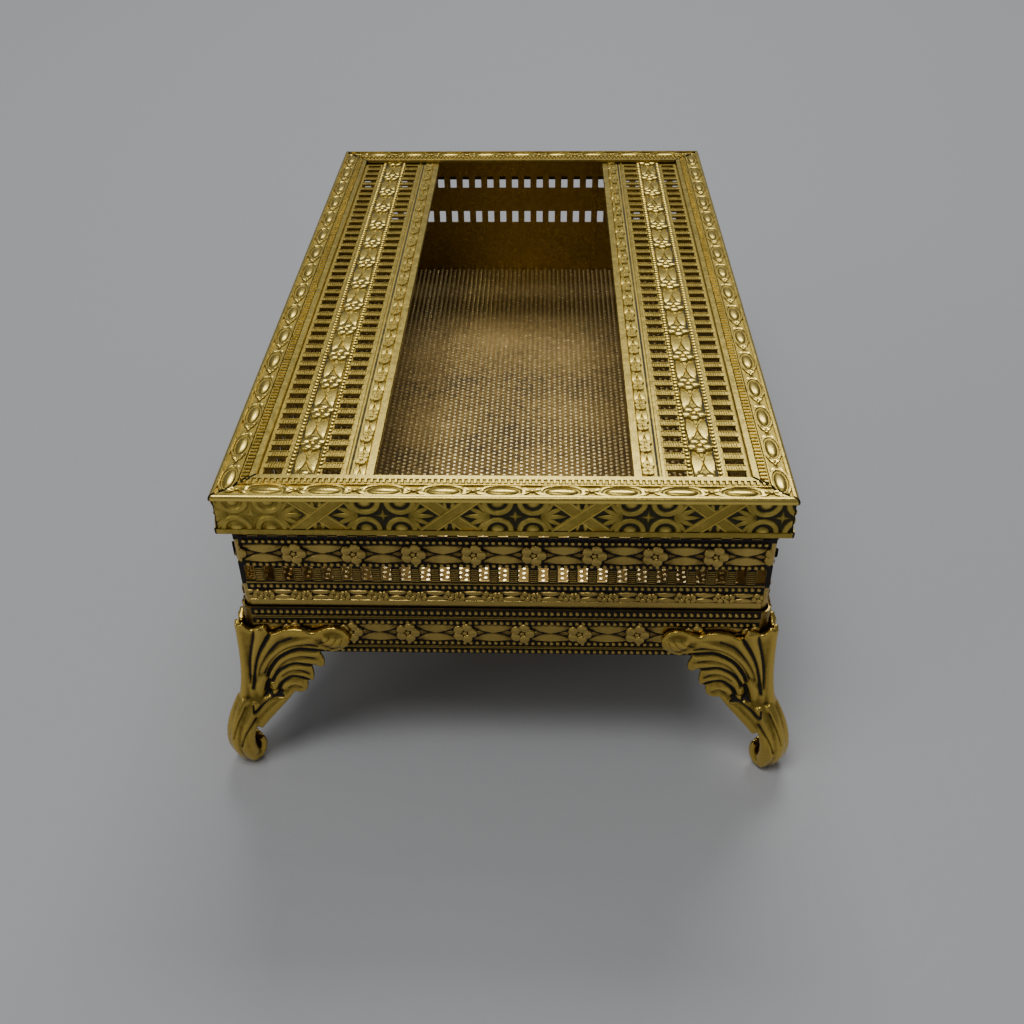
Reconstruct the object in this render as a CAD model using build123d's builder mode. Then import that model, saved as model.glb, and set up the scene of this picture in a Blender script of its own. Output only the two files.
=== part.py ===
from build123d import *
import os

# Footed vanity box of stamped brass strip. Millimetres, +Z up.
# The origin is on the table, under the middle of the box. The short front wall faces -Y.

# Body
body_width = 77.5           # over the wall strip, along X
body_length = 128.2         # over the wall strip, along Y
corner_radius = 1.2         # outside radius of the bent wall strip
wall_thickness = 0.6
wall_height = 28.55
leg_height = 21.1           # from the table to the underside of the base band
wall_lift = 0.2             # wall's lower edge above the band's lower edge
band_thickness = 0.4
band_height = 8.9
ridge_height = 0.3          # two ridges stand out of the band, and the feet sit on them
ridge_width = 0.6
lower_ridge_lift = 1.2      # underside of the lower ridge above the band's lower edge
upper_ridge_lift = 7.2
seam_width = 1.2            # lap seam inside the back wall
seam_thickness = 0.3
seam_offset = 17.5          # wanted place of the seam along X, moved to the nearest pillar

# Pierced gallery strip, used for the walls and for the lid panels
slot_pitch = 2.83
slot_width = 1.4
slot_length = 2.7
first_row = 4.8             # plain edge of the strip to the first row of slots
second_row = 13.1           # plain edge of the strip to the second row
slot_end_margin = 0.55     # least metal between the last slot and a corner
strip_edge_lift = 0.15      # plain edge of the wall pattern above the base band

# Floor
floor_lift = 2.1            # top of the floor above the band's lower edge
floor_thickness = 0.6
floor_flange = 1.2          # turned-down edge, below the sheet

# Lid
lid_overhang = 1.25         # rails stand out this far past the wall
lid_gap = 0.2               # lid panels above the top of the wall
rail_width = 5.5
rail_thickness = 0.4
rim_height = 0.35           # the skirt's rim and the rolled edge stand this far out of the rail
rim_width = 0.8
lip_height = 0.15           # plain lip along the rail's inner edge
roll_radius = 0.5           # rounding of the rolled top edge
skirt_depth = 6.5
mitre_gap = 0.2
panel_thickness = 0.5
panel_clearance = 0.3       # panel edge to the inside of a skirt
lid_slot_width = 36.2

# Hinge on the left side
hinge_length = 28.0
knuckle_count = 5
knuckle_radius = 1.1
knuckle_gap = 0.16
pin_radius = 0.5
pin_clearance = 0.05
pin_head_radius = 0.8
pin_head_length = 0.5
hinge_out = 0.9             # axis outside the skirt's face
hinge_drop = 1.35           # axis below the skirt's lower edge
leaf_thickness = 0.5
body_leaf_depth = 6.4       # height of the plate on the wall
lid_leaf_depth = 4.8        # height of the plate on the skirt
hinge_rivet_offset = 9.0    # wanted place of each rivet along Y, moved to the nearest pillar

# Rivets
rivet_radius = 0.6
rivet_head_radius = 1.1
rivet_head_height = 0.35
rivet_head_taper = 30.0
foot_rivet_inset = 9.0      # from the band's corner
foot_rivet_lift = 3.9       # above the band's lower edge
foot_rivet_bite = 0.8       # depth into the foot

# Feet
wing_thickness = 1.4
wing_reach = 16.4           # along each wall, from the band's corner
wing_overlap = 6.9          # highest point of the wing above the band's lower edge
wing_bevel = 1.6            # flat along the corner of the two wings
ankle_height = 8.0
leg_clearance = 1.1         # top of the leg below the base band
toe_radius = 3.3
toe_flat_radius = 1.6
toe_neck_radius = 2.0
toe_height = 11.0
toe_offset = 2.65           # toe's axis outside the band's corner, along X and along Y

# Places worked out from the sizes above
wall_bottom = leg_height + wall_lift
wall_top = wall_bottom + wall_height
band_top = leg_height + band_height
floor_top = leg_height + floor_lift
panel_bottom = wall_top + lid_gap
panel_top = panel_bottom + panel_thickness
lid_top = panel_top + rail_thickness + rim_height
skirt_bottom = lid_top - skirt_depth
half_width = body_width / 2
half_length = body_length / 2
inner_half_width = half_width - wall_thickness
inner_half_length = half_length - wall_thickness
band_half_width = half_width + band_thickness + ridge_height
band_half_length = half_length + band_thickness + ridge_height
lid_half_width = half_width + lid_overhang
lid_half_length = half_length + lid_overhang
skirt_thickness = rail_thickness + rim_height
skirt_half_width = lid_half_width - skirt_thickness
skirt_half_length = lid_half_length - skirt_thickness
row_spacing = second_row - first_row
first_row_middle = first_row + slot_length / 2
wall_rows_middle = band_top + strip_edge_lift + first_row_middle + row_spacing / 2


def slot_count(span):
    """How many slots fit in a span of strip."""
    return int((span - 2 * slot_end_margin - slot_width) / slot_pitch) + 1


def pillar_place(wanted, count):
    """The middle of the pillar nearest to a wanted place, in a centred row of this many slots."""
    shift = 0.5 if count % 2 else 0.0
    return (round(wanted / slot_pitch - shift) + shift) * slot_pitch


def write(piece, name):
    """Labels a finished piece and writes its STEP file."""
    piece.part.label = name
    export_step(piece.part, f"parts/{name}.step")
    print(name, "solids", len(piece.part.solids()), "volume", round(piece.part.volume, 2))


os.makedirs("parts", exist_ok=True)

# Slots along the walls
front_slots = slot_count(2 * inner_half_width)
back_slots = front_slots - 1
side_slots = slot_count(2 * inner_half_length)

# Foot rivet places
foot_rivet_x = band_half_width - foot_rivet_inset
foot_rivet_y = band_half_length - foot_rivet_inset
foot_rivet_z = leg_height + foot_rivet_lift
foot_rivet_grip = wall_thickness + band_thickness + ridge_height + foot_rivet_bite
foot_rivet_planes = []
for side in (-1, 1):
    for end in (-1, 1):
        on_short_wall = (side * foot_rivet_x, end * inner_half_length, foot_rivet_z)
        on_long_wall = (side * inner_half_width, end * foot_rivet_y, foot_rivet_z)
        foot_rivet_planes.append(Plane(origin=on_short_wall, z_dir=(0, -end, 0)))
        foot_rivet_planes.append(Plane(origin=on_long_wall, z_dir=(-side, 0, 0)))

# Hinge and hinge rivet places
hinge_x = -(lid_half_width + hinge_out)
hinge_z = skirt_bottom - hinge_drop
body_leaf_top = hinge_z - knuckle_radius + leaf_thickness
body_leaf_face = -(half_width + leaf_thickness)
lid_leaf_face = -(lid_half_width + leaf_thickness)
body_rivet_grip = leaf_thickness + wall_thickness
lid_rivet_grip = leaf_thickness + skirt_thickness
body_rivet_z = body_leaf_top - body_leaf_depth / 2
lid_rivet_z = skirt_bottom + lid_leaf_depth / 2
rivet_y = pillar_place(hinge_rivet_offset, side_slots)
body_rivet_planes = []
lid_rivet_planes = []
for end in (-1, 1):
    body_rivet_planes.append(Plane(origin=(body_leaf_face, end * rivet_y, body_rivet_z), z_dir=(-1, 0, 0)))
    lid_rivet_planes.append(Plane(origin=(lid_leaf_face, end * rivet_y, lid_rivet_z), z_dir=(-1, 0, 0)))

# Wall strip, bent into a rectangle, with two rows of slots all round
seam_x = pillar_place(seam_offset, back_slots)
inner_corner_radius = corner_radius - wall_thickness
with BuildPart() as wall_band:
    with BuildSketch(Plane.XY.offset(wall_bottom)):
        RectangleRounded(body_width, body_length, corner_radius)
        RectangleRounded(2 * inner_half_width, 2 * inner_half_length, inner_corner_radius, mode=Mode.SUBTRACT)
    extrude(amount=wall_height)
    with BuildSketch(Plane.XZ):
        with Locations((0, wall_rows_middle)):
            with GridLocations(slot_pitch, row_spacing, front_slots, 2):
                Rectangle(slot_width, slot_length)
    extrude(amount=body_length, mode=Mode.SUBTRACT)
    with BuildSketch(Plane.XZ):
        with Locations((0, wall_rows_middle)):
            with GridLocations(slot_pitch, row_spacing, back_slots, 2):
                Rectangle(slot_width, slot_length)
    extrude(amount=-body_length, mode=Mode.SUBTRACT)
    with BuildSketch(Plane.YZ):
        with Locations((0, wall_rows_middle)):
            with GridLocations(slot_pitch, row_spacing, side_slots, 2):
                Rectangle(slot_width, slot_length)
    extrude(amount=body_width, both=True, mode=Mode.SUBTRACT)
    with BuildSketch(Plane.XY.offset(floor_top)):
        with Locations((seam_x, inner_half_length)):
            Rectangle(seam_width, 2 * seam_thickness)
    extrude(amount=wall_top - floor_top)
    with BuildSketch(*foot_rivet_planes):
        Circle(rivet_radius)
    extrude(amount=-foot_rivet_grip, mode=Mode.SUBTRACT)
    with BuildSketch(*body_rivet_planes):
        Circle(rivet_radius)
    extrude(amount=-body_rivet_grip, mode=Mode.SUBTRACT)
write(wall_band, "wall_band")

# Base band, wrapped round the foot of the wall
with BuildPart() as base_band:
    with BuildSketch(Plane.XY.offset(leg_height)):
        RectangleRounded(
            body_width + 2 * band_thickness,
            body_length + 2 * band_thickness,
            corner_radius + band_thickness,
        )
        RectangleRounded(body_width, body_length, corner_radius, mode=Mode.SUBTRACT)
    extrude(amount=band_height)
    for lift in (lower_ridge_lift, upper_ridge_lift):
        with BuildSketch(Plane.XY.offset(leg_height + lift)):
            RectangleRounded(2 * band_half_width, 2 * band_half_length, corner_radius + band_thickness)
            RectangleRounded(body_width, body_length, corner_radius, mode=Mode.SUBTRACT)
        extrude(amount=ridge_width)
    with BuildSketch(*foot_rivet_planes):
        Circle(rivet_radius)
    extrude(amount=-foot_rivet_grip, mode=Mode.SUBTRACT)
write(base_band, "base_band")

# Floor, a shallow pan turned upside down between the walls
with BuildPart() as floor_panel:
    with BuildSketch(Plane.XY.offset(floor_top - floor_thickness)):
        RectangleRounded(2 * inner_half_width, 2 * inner_half_length, inner_corner_radius)
    extrude(amount=floor_thickness)
    with BuildSketch(Plane.XY.offset(floor_top - floor_thickness)):
        RectangleRounded(2 * inner_half_width, 2 * inner_half_length, inner_corner_radius)
        Rectangle(
            2 * (inner_half_width - floor_thickness),
            2 * (inner_half_length - floor_thickness),
            mode=Mode.SUBTRACT,
        )
    extrude(amount=-floor_flange)
write(floor_panel, "floor_panel")

# Front left foot: a leaf wing on each wall, a leg under the corner and a splayed toe
corner_x = -band_half_width
corner_y = -band_half_length
wing_rise = leg_height + wing_overlap - ankle_height
toe_centre = (corner_x - toe_offset, corner_y - toe_offset, 0)
leg_top = leg_height - leg_clearance
leg_sections = [
    (leg_top, -0.3, 1.5),
    (ankle_height + 0.5 * (leg_top - ankle_height), 0.1, 2.0),
    (ankle_height + 0.2 * (leg_top - ankle_height), 1.2, 1.9),
    (ankle_height, 2.2, 2.3),
]


def wing(along, up):
    """A point of the wing's outline, as shares of its reach and its rise."""
    return (along * wing_reach, ankle_height + up * wing_rise)


with BuildPart() as foot_front_left:
    with BuildSketch(Plane(origin=(corner_x, corner_y, 0), x_dir=(1, 0, 0), z_dir=(0, -1, 0))):
        with BuildLine():
            corner_foot = (-wing_thickness, ankle_height)
            corner_top = (-wing_thickness, ankle_height + 0.98 * wing_rise)
            Polyline(corner_foot, corner_top, wing(0.11, 0.955), wing(0.225, 1.0), wing(0.275, 0.92))
            ThreePointArc(wing(0.275, 0.92), wing(0.49, 0.975), wing(0.72, 0.96))
            ThreePointArc(wing(0.72, 0.96), wing(1.0, 0.87), wing(0.74, 0.765))
            ThreePointArc(wing(0.74, 0.765), wing(0.77, 0.69), wing(0.73, 0.605))
            Line(wing(0.73, 0.605), wing(0.60, 0.58))
            ThreePointArc(wing(0.60, 0.58), wing(0.64, 0.51), wing(0.61, 0.43))
            Line(wing(0.61, 0.43), wing(0.54, 0.415))
            ThreePointArc(wing(0.54, 0.415), wing(0.49, 0.32), wing(0.375, 0.31))
            ThreePointArc(wing(0.375, 0.31), wing(0.22, 0.13), wing(0.02, 0.0))
            Line(wing(0.02, 0.0), corner_foot)
        make_face()
    extrude(amount=wing_thickness)
    mirror(about=Plane(origin=(corner_x, corner_y, 0), z_dir=(1, -1, 0)))
    with BuildSketch(Plane((corner_x - wing_thickness, corner_y - wing_thickness, ankle_height))):
        Polygon((0, 0), (wing_bevel, 0), (0, wing_bevel), align=None)
    extrude(amount=wing_rise, mode=Mode.SUBTRACT)
    for height, out, radius in leg_sections:
        with BuildSketch(Plane(origin=(corner_x - out, corner_y - out, height))):
            Circle(radius)
    loft()
    with BuildSketch(Plane(origin=toe_centre, x_dir=(1, 0, 0), z_dir=(0, -1, 0))):
        with BuildLine():
            Polyline((toe_neck_radius, toe_height), (0, toe_height), (0, 0), (toe_flat_radius, 0))
            ThreePointArc((toe_flat_radius, 0), (toe_radius, 0.4 * toe_height), (toe_neck_radius, toe_height))
        make_face()
    revolve(axis=Axis(toe_centre, (0, 0, 1)))
    with BuildSketch(*foot_rivet_planes):
        Circle(rivet_radius)
    extrude(amount=-foot_rivet_grip, mode=Mode.SUBTRACT)
write(foot_front_left, "foot_front_left")

with BuildPart() as foot_front_right:
    mirror(foot_front_left.part, about=Plane.YZ)
write(foot_front_right, "foot_front_right")

with BuildPart() as foot_back_left:
    mirror(foot_front_left.part, about=Plane.XZ)
write(foot_back_left, "foot_back_left")

with BuildPart() as foot_back_right:
    mirror(foot_front_right.part, about=Plane.XZ)
write(foot_back_right, "foot_back_right")

# Rivets that hold the feet, with their heads inside the box
with BuildPart() as foot_rivets:
    with BuildSketch(*foot_rivet_planes):
        Circle(rivet_radius)
    extrude(amount=-foot_rivet_grip)
    with BuildSketch(*foot_rivet_planes):
        Circle(rivet_head_radius)
    extrude(amount=rivet_head_height, taper=rivet_head_taper)
write(foot_rivets, "foot_rivets")

# Lid rails: an L section with a rolled top edge, a rim below and a lip inside, mitred at the corners
end_gap = mitre_gap / 2**0.5
field_top = lid_top - rim_height
rail_sides = {
    "front": ((0, -lid_half_length), (1, 0, 0), lid_half_width),
    "right": ((lid_half_width, 0), (0, 1, 0), lid_half_length),
    "back": ((0, lid_half_length), (-1, 0, 0), lid_half_width),
    "left": ((-lid_half_width, 0), (0, -1, 0), lid_half_length),
}

for side, (middle, along, half_span) in rail_sides.items():
    plan = Plane(origin=(*middle, skirt_bottom), x_dir=along, z_dir=(0, 0, 1))
    with BuildPart() as lid_rail:
        with BuildSketch(Plane(origin=(*middle, 0), x_dir=plan.y_dir, z_dir=plan.x_dir)):
            with BuildLine():
                Polyline(
                    (roll_radius, lid_top),
                    (rim_width, lid_top),
                    (rim_width, field_top),
                    (rail_width - rim_width, field_top),
                    (rail_width - rim_width, field_top + lip_height),
                    (rail_width, field_top + lip_height),
                    (rail_width, panel_top),
                    (skirt_thickness, panel_top),
                    (skirt_thickness, skirt_bottom),
                    (0, skirt_bottom),
                    (0, skirt_bottom + rim_width),
                    (rim_height, skirt_bottom + rim_width),
                    (rim_height, lid_top - rim_width),
                    (0, lid_top - rim_width),
                    (0, lid_top - roll_radius),
                )
                RadiusArc((0, lid_top - roll_radius), (roll_radius, lid_top), roll_radius)
            make_face()
        extrude(amount=half_span, both=True)
        with BuildSketch(plan):
            outer = half_span - end_gap
            inner = outer - rail_width
            Polygon((-outer, 0), (outer, 0), (inner, rail_width), (-inner, rail_width), align=None)
        extrude(amount=skirt_depth, mode=Mode.INTERSECT)
        if side == "left":
            with BuildSketch(*lid_rivet_planes):
                Circle(rivet_radius)
            extrude(amount=-lid_rivet_grip, mode=Mode.SUBTRACT)
    write(lid_rail, f"lid_rail_{side}")

# Lid panels: the same pierced strip, plain edge along the open slot
panel_slots = slot_count(2 * (lid_half_length - rail_width))
panel_edge = skirt_half_width - panel_clearance
panel_width = panel_edge - lid_slot_width / 2
panel_middle = lid_slot_width / 2 + panel_width / 2
panel_rows_middle = lid_slot_width / 2 + first_row_middle + row_spacing / 2
for side, sign in (("left", -1), ("right", 1)):
    with BuildPart() as lid_panel:
        with BuildSketch(Plane.XY.offset(panel_bottom)):
            with Locations((sign * panel_middle, 0)):
                Rectangle(panel_width, 2 * (skirt_half_length - panel_clearance))
            with Locations((sign * panel_rows_middle, 0)):
                with GridLocations(row_spacing, slot_pitch, 2, panel_slots):
                    Rectangle(slot_length, slot_width, mode=Mode.SUBTRACT)
        extrude(amount=panel_thickness)
    write(lid_panel, f"lid_panel_{side}")

# Hinge: odd knuckles belong to the body leaf, even ones to the lid leaf
knuckle_length = (hinge_length - (knuckle_count - 1) * knuckle_gap) / knuckle_count
knuckle_planes = []
for index in range(knuckle_count):
    start = -hinge_length / 2 + index * (knuckle_length + knuckle_gap)
    knuckle_planes.append(Plane(origin=(hinge_x, start, hinge_z), x_dir=(1, 0, 0), z_dir=(0, -1, 0)))
body_knuckle_planes = knuckle_planes[0::2]
lid_knuckle_planes = knuckle_planes[1::2]

with BuildPart() as hinge_leaf_body:
    with BuildSketch(Plane.YZ.offset(body_leaf_face)):
        with Locations((0, body_leaf_top)):
            Rectangle(hinge_length, body_leaf_depth, align=(Align.CENTER, Align.MAX))
    extrude(amount=leaf_thickness)
    with BuildSketch(*body_knuckle_planes):
        Circle(knuckle_radius)
        with Locations((0, -knuckle_radius)):
            Rectangle(-half_width - hinge_x, leaf_thickness, align=(Align.MIN, Align.MIN))
        Circle(pin_radius, mode=Mode.SUBTRACT)
    extrude(amount=-knuckle_length)
    with BuildSketch(*body_rivet_planes):
        Circle(rivet_radius)
    extrude(amount=-body_rivet_grip, mode=Mode.SUBTRACT)
write(hinge_leaf_body, "hinge_leaf_body")

with BuildPart() as hinge_leaf_lid:
    with BuildSketch(Plane.YZ.offset(lid_leaf_face)):
        with Locations((0, skirt_bottom)):
            Rectangle(hinge_length, lid_leaf_depth, align=(Align.CENTER, Align.MIN))
    extrude(amount=leaf_thickness)
    with BuildSketch(*lid_knuckle_planes):
        Circle(knuckle_radius)
        with Locations((lid_leaf_face - hinge_x, 0)):
            Rectangle(leaf_thickness, hinge_drop + leaf_thickness, align=(Align.MIN, Align.MIN))
        Circle(pin_radius + pin_clearance, mode=Mode.SUBTRACT)
    extrude(amount=-knuckle_length)
    with BuildSketch(*lid_rivet_planes):
        Circle(rivet_radius)
    extrude(amount=-lid_rivet_grip, mode=Mode.SUBTRACT)
write(hinge_leaf_lid, "hinge_leaf_lid")

with BuildPart() as hinge_pin:
    with BuildSketch(knuckle_planes[0]):
        Circle(pin_radius)
    extrude(amount=-hinge_length)
    with BuildSketch(knuckle_planes[0]):
        Circle(pin_head_radius)
    extrude(amount=pin_head_length)
    with BuildSketch(knuckle_planes[0].offset(-hinge_length)):
        Circle(pin_head_radius)
    extrude(amount=-pin_head_length)
write(hinge_pin, "hinge_pin")

# Rivets that hold the hinge leaves, with their tails flush inside
for name, planes, grip in (
    ("hinge_rivets_body", body_rivet_planes, body_rivet_grip),
    ("hinge_rivets_lid", lid_rivet_planes, lid_rivet_grip),
):
    with BuildPart() as hinge_rivets:
        with BuildSketch(*planes):
            Circle(rivet_radius)
        extrude(amount=-grip)
        with BuildSketch(*planes):
            Circle(rivet_head_radius)
        extrude(amount=rivet_head_height, taper=rivet_head_taper)
    write(hinge_rivets, name)
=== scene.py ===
import math
from contextlib import contextmanager

import bmesh
import bpy
import numpy
from mathutils import Matrix, Vector


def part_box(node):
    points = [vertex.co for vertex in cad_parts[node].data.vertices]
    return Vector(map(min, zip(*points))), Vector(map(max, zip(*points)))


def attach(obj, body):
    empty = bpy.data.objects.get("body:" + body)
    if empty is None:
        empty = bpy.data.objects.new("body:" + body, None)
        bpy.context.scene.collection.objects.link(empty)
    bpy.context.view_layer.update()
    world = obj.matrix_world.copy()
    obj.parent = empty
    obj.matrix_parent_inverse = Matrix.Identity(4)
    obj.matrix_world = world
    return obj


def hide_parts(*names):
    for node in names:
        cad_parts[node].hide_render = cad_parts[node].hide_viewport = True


# A small footed vanity box of stamped and gilt brass strip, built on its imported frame.
# Strips are modelled flat in millimetres, X along the strip, Y up its width and Z out of it,
# and are then set in their place in metres.

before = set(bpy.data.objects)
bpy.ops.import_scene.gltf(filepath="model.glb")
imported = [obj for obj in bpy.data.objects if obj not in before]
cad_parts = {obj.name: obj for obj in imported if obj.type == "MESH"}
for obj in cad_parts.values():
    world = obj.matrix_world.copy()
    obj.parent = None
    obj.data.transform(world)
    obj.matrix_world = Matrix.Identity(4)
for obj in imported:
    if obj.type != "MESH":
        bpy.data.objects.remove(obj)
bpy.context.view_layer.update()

MM = 0.001
# The polish also carries painted light: shade on the walls, the base band and the feet's hollows, light on
# the lid's top, highlights on the mesh beads.
POLISH_AND_PAINTED_LIGHT = "polish"           # vertex attribute: 0 is a dark recess, 1 is a rubbed high spot

bl_info = {
    "name": "Footed Vanity Box",
    "version": (1, 0, 0),
    "blender": (4, 5, 0),
    "location": "3D View > Sidebar > Vanity Box",
    "description": "Adds the stamped, pierced and gilt surfaces of a small footed vanity box",
    "category": "Add Mesh",
}

WALL_LOW, WALL_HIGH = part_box("wall_band")
BAND_LOW, BAND_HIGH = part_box("base_band")
FLOOR_LOW, FLOOR_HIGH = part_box("floor_panel")
PANEL_LOW, PANEL_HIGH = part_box("lid_panel_right")
RAIL_LOW, RAIL_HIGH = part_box("lid_rail_front")
SIDE_RAIL_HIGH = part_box("lid_rail_right")[1]

# Lines of the gallery strip's pattern, in millimetres from its plain edge
PLAIN_EDGE = 1.3            # width of the raised plain edge
NARROW_VINE = 2.15          # middle of each line from here on
WIDE_VINE = 10.0
VINE_BEADS = (7.95, 12.2)   # bead rows on both sides of the wide vine
WALL_BEADS = 3.8
WALL_LINE = 4.42
LID_LINES = ((4.25, 0.62, 0.5, 0.92), (12.55, 0.55, 0.3, 0.85))     # also width, share of relief, polish
LID_GROOVES = (3.52, 8.52, 11.68)

# Polish of the stamped sheet where nothing is embossed on it. The same gilt sheet gets low values on the
# walls as painted shade on the upright faces, and high ones on the lid as painted light on its top.
INSIDE_POLISH = 0.72        # bare inner face of the walls and underside of the lid
SHADED_WALL_FIELD = 0.08           # outer face of the walls and the base band
LIT_LID_FIELD = 0.60            # top of the lid panels
SHADED_WALL_FOOT = 0.05            # foot of the walls' and the band's motifs
LIT_LID_FOOT = 0.27             # foot of the lid panels' motifs

# The skirts' fields, darkened as painted shade, turn lighter between the two places below along X, and so
# does the ornament of the front one
LIGHTER_START = -0.018
LIGHTER_END = -0.034
LIGHTER_POLISH = 0.42


def length(name, description, default):
    """A length property, in metres."""
    return bpy.props.FloatProperty(
        name=name, description=description, default=default, min=0.0, unit="LENGTH", precision=5
    )


def colour(name, description, default):
    """A colour property, linear and without alpha."""
    return bpy.props.FloatVectorProperty(
        name=name, description=description, default=default, min=0.0, max=1.0, subtype="COLOR", size=3
    )


def amount(name, description, default):
    """A share from 0 to 1."""
    return bpy.props.FloatProperty(
        name=name, description=description, default=default, min=0.0, max=1.0, subtype="FACTOR"
    )


class VanityBoxSizes(bpy.types.PropertyGroup):
    slot_pitch: length("Slot pitch", "Middle of one slot to the middle of the next", 0.00283)
    slot_width: length("Slot width", "Width of a slot along the strip", 0.0014)
    slot_length: length("Slot length", "Length of a slot across the strip", 0.0027)
    first_row: length("First row", "Plain edge of the strip to the first row of slots", 0.0048)
    second_row: length("Second row", "Plain edge of the strip to the second row of slots", 0.0131)
    front_slots: bpy.props.IntProperty(
        name="Front slots", description="Slots in a row along a short wall", default=27, min=1
    )
    back_slots: bpy.props.IntProperty(
        name="Back slots", description="Slots in a row along the back wall", default=26, min=1
    )
    side_slots: bpy.props.IntProperty(
        name="Side slots", description="Slots in a row along a long wall", default=44, min=1
    )
    panel_slots: bpy.props.IntProperty(
        name="Panel slots", description="Slots in a row along a lid panel", default=42, min=1
    )
    plain_edge_height: length(
        "Pattern height", "Table to the plain edge of the wall pattern", BAND_HIGH.z + 0.00015
    )
    wall_thickness: length("Wall thickness", "Face of the wall strip to its inside", 0.0006)
    corner_radius: length("Corner radius", "Outside radius of the bent wall strip", 0.0012)
    sheet: length("Sheet thickness", "Thickness of the stamped sheet", 0.00025)
    relief: length("Relief", "Height of the highest embossing", 0.0004)
    bead_pitch: length("Bead pitch", "Middle of one bead to the middle of the next", 0.00093)
    bead_size: length("Bead size", "Width of a bead in the bead rows", 0.00078)
    big_flower_pitch: length("Big flower pitch", "Flower to flower in the wide vine", 0.00855)
    small_flower_pitch: length("Small flower pitch", "Flower to flower in the narrow vine", 0.0056)
    rail_field_depth: length("Rail field depth", "Rail's rims above its sunk field", 0.00035)
    oval_pitch: length("Oval pitch", "Oval to oval along a rail", 0.0081)
    star_pitch: length("Star pitch", "Star to star along a skirt", 0.0181)
    mesh_column_pitch: length("Mesh column pitch", "Column to column of the floor mesh", 0.00103)
    mesh_bead_pitch: length("Mesh bead pitch", "Bead to bead along a column of the floor mesh", 0.00113)
    foot_grain: length("Foot grain", "Size of the finest shape kept on a foot", 0.0002)


class VanityBoxColours(bpy.types.PropertyGroup):
    gilt: colour("Gilt", "Clean gilding of the lid", (0.80, 0.60, 0.14))
    gilt_tarnish: colour("Gilt tarnish", "Dulled gilding of the lid", (0.38, 0.28, 0.055))
    gilt_recess: colour("Gilt recess", "Olive dirt in the lid's grooves", (0.035, 0.028, 0.006))
    # The walls' brass, brass tarnish and brass recess are a darker copy of the gilt: painted shade on the
    # upright walls, over the dark patina in their grooves. The hinge shares the tarnish and recess.
    brass: colour("Brass", "Rubbed brass of the walls", (0.52, 0.37, 0.10))
    brass_tarnish: colour("Brass tarnish", "Dull brass of the walls", (0.20, 0.13, 0.035))
    brass_recess: colour("Brass recess", "Dark patina in the walls' grooves", (0.012, 0.007, 0.004))
    # The mesh colour is brighter and paler than the gilt: a painted highlight on the beads' tops
    mesh: colour("Mesh", "Tops of the floor mesh", (1.0, 0.82, 0.42))
    mesh_tarnish: colour("Mesh tarnish", "Slopes of the floor mesh", (0.26, 0.17, 0.05))
    mesh_recess: colour("Mesh recess", "Brown between the beads of the floor mesh", (0.060, 0.036, 0.010))
    cast: colour("Cast brass", "Rubbed high spots of the feet", (0.60, 0.42, 0.09))
    cast_tarnish: colour("Cast tarnish", "Dull flats of the feet", (0.26, 0.175, 0.035))
    cast_recess: colour("Cast recess", "Dark grooves of the feet", (0.012, 0.008, 0.004))
    hinge: colour("Hinge brass", "Rolled brass of the hinge and the rivets", (0.50, 0.37, 0.12))
    pin: colour("Pin steel", "Drawn wire of the hinge pin", (0.50, 0.49, 0.46))
    table: colour("Table", "Plain floor that the box stands on", (0.49, 0.495, 0.505))
    patches: amount("Patches", "How far the tarnish varies from place to place", 0.45)


# ---------------------------------------------------------------- modelling helpers


def only(*pieces):
    """Selects these pieces and nothing else, with the first one active."""
    bpy.ops.object.select_all(action="DESELECT")
    for piece in pieces:
        piece.select_set(True)
    bpy.context.view_layer.objects.active = pieces[0]


@contextmanager
def editing(piece):
    """Edit mode with the whole piece selected."""
    only(piece)
    bpy.ops.object.mode_set(mode="EDIT")
    bpy.ops.mesh.select_mode(type="VERT")
    bpy.ops.mesh.select_all(action="SELECT")
    yield
    bpy.ops.object.mode_set(mode="OBJECT")


def pick(piece, test):
    """In edit mode, selects the faces whose middle and normal pass the test."""
    bpy.ops.mesh.select_mode(type="FACE")
    shape = bmesh.from_edit_mesh(piece.data)
    for face in shape.faces:
        face.select_set(test(face.calc_center_median(), face.normal))
    bmesh.update_edit_mesh(piece.data)


def settle(piece):
    """Puts the piece's place, turn and scale into its mesh."""
    only(piece)
    bpy.ops.object.transform_apply(location=True, rotation=True, scale=True)
    return piece


def at(piece, place=(0, 0, 0), turn=(0, 0, 0), scale=(1, 1, 1)):
    """Scales, turns and moves a piece, and settles it. Turns are in degrees."""
    piece.scale = scale
    piece.rotation_euler = [math.radians(angle) for angle in turn]
    piece.location = place
    return settle(piece)


def copied(piece, place=(0, 0, 0), turn=(0, 0, 0), scale=(1, 1, 1)):
    """A copy with its own mesh, set in its place."""
    twin = piece.copy()
    twin.data = piece.data.copy()
    bpy.context.collection.objects.link(twin)
    return at(twin, place, turn, scale)


def joined(pieces):
    """Joins pieces into the first one."""
    only(*pieces)
    if len(pieces) > 1:
        bpy.ops.object.join()
    return bpy.context.view_layer.objects.active


def removed(*pieces):
    """Deletes pieces that were only patterns for copies."""
    only(*pieces)
    bpy.ops.object.delete()


def applied(piece, kind, **settings):
    """Adds one modifier with these settings and applies it."""
    only(piece)
    bpy.ops.object.modifier_add(type=kind)
    modifier = piece.modifiers[-1]
    for name, value in settings.items():
        setattr(modifier, name, value)
    bpy.ops.object.modifier_apply(modifier=modifier.name)
    return piece


def arrayed(piece, count, step):
    """Repeats a piece in a straight row."""
    if count < 2:
        return piece
    return applied(
        piece,
        "ARRAY",
        count=count,
        use_relative_offset=False,
        use_constant_offset=True,
        constant_offset_displace=step,
    )


def cut(piece, point, normal):
    """Cuts off what lies past a plane, and closes the cut."""
    with editing(piece):
        bpy.ops.mesh.bisect(plane_co=point, plane_no=normal, use_fill=True, clear_outer=True)
    return piece


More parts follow.
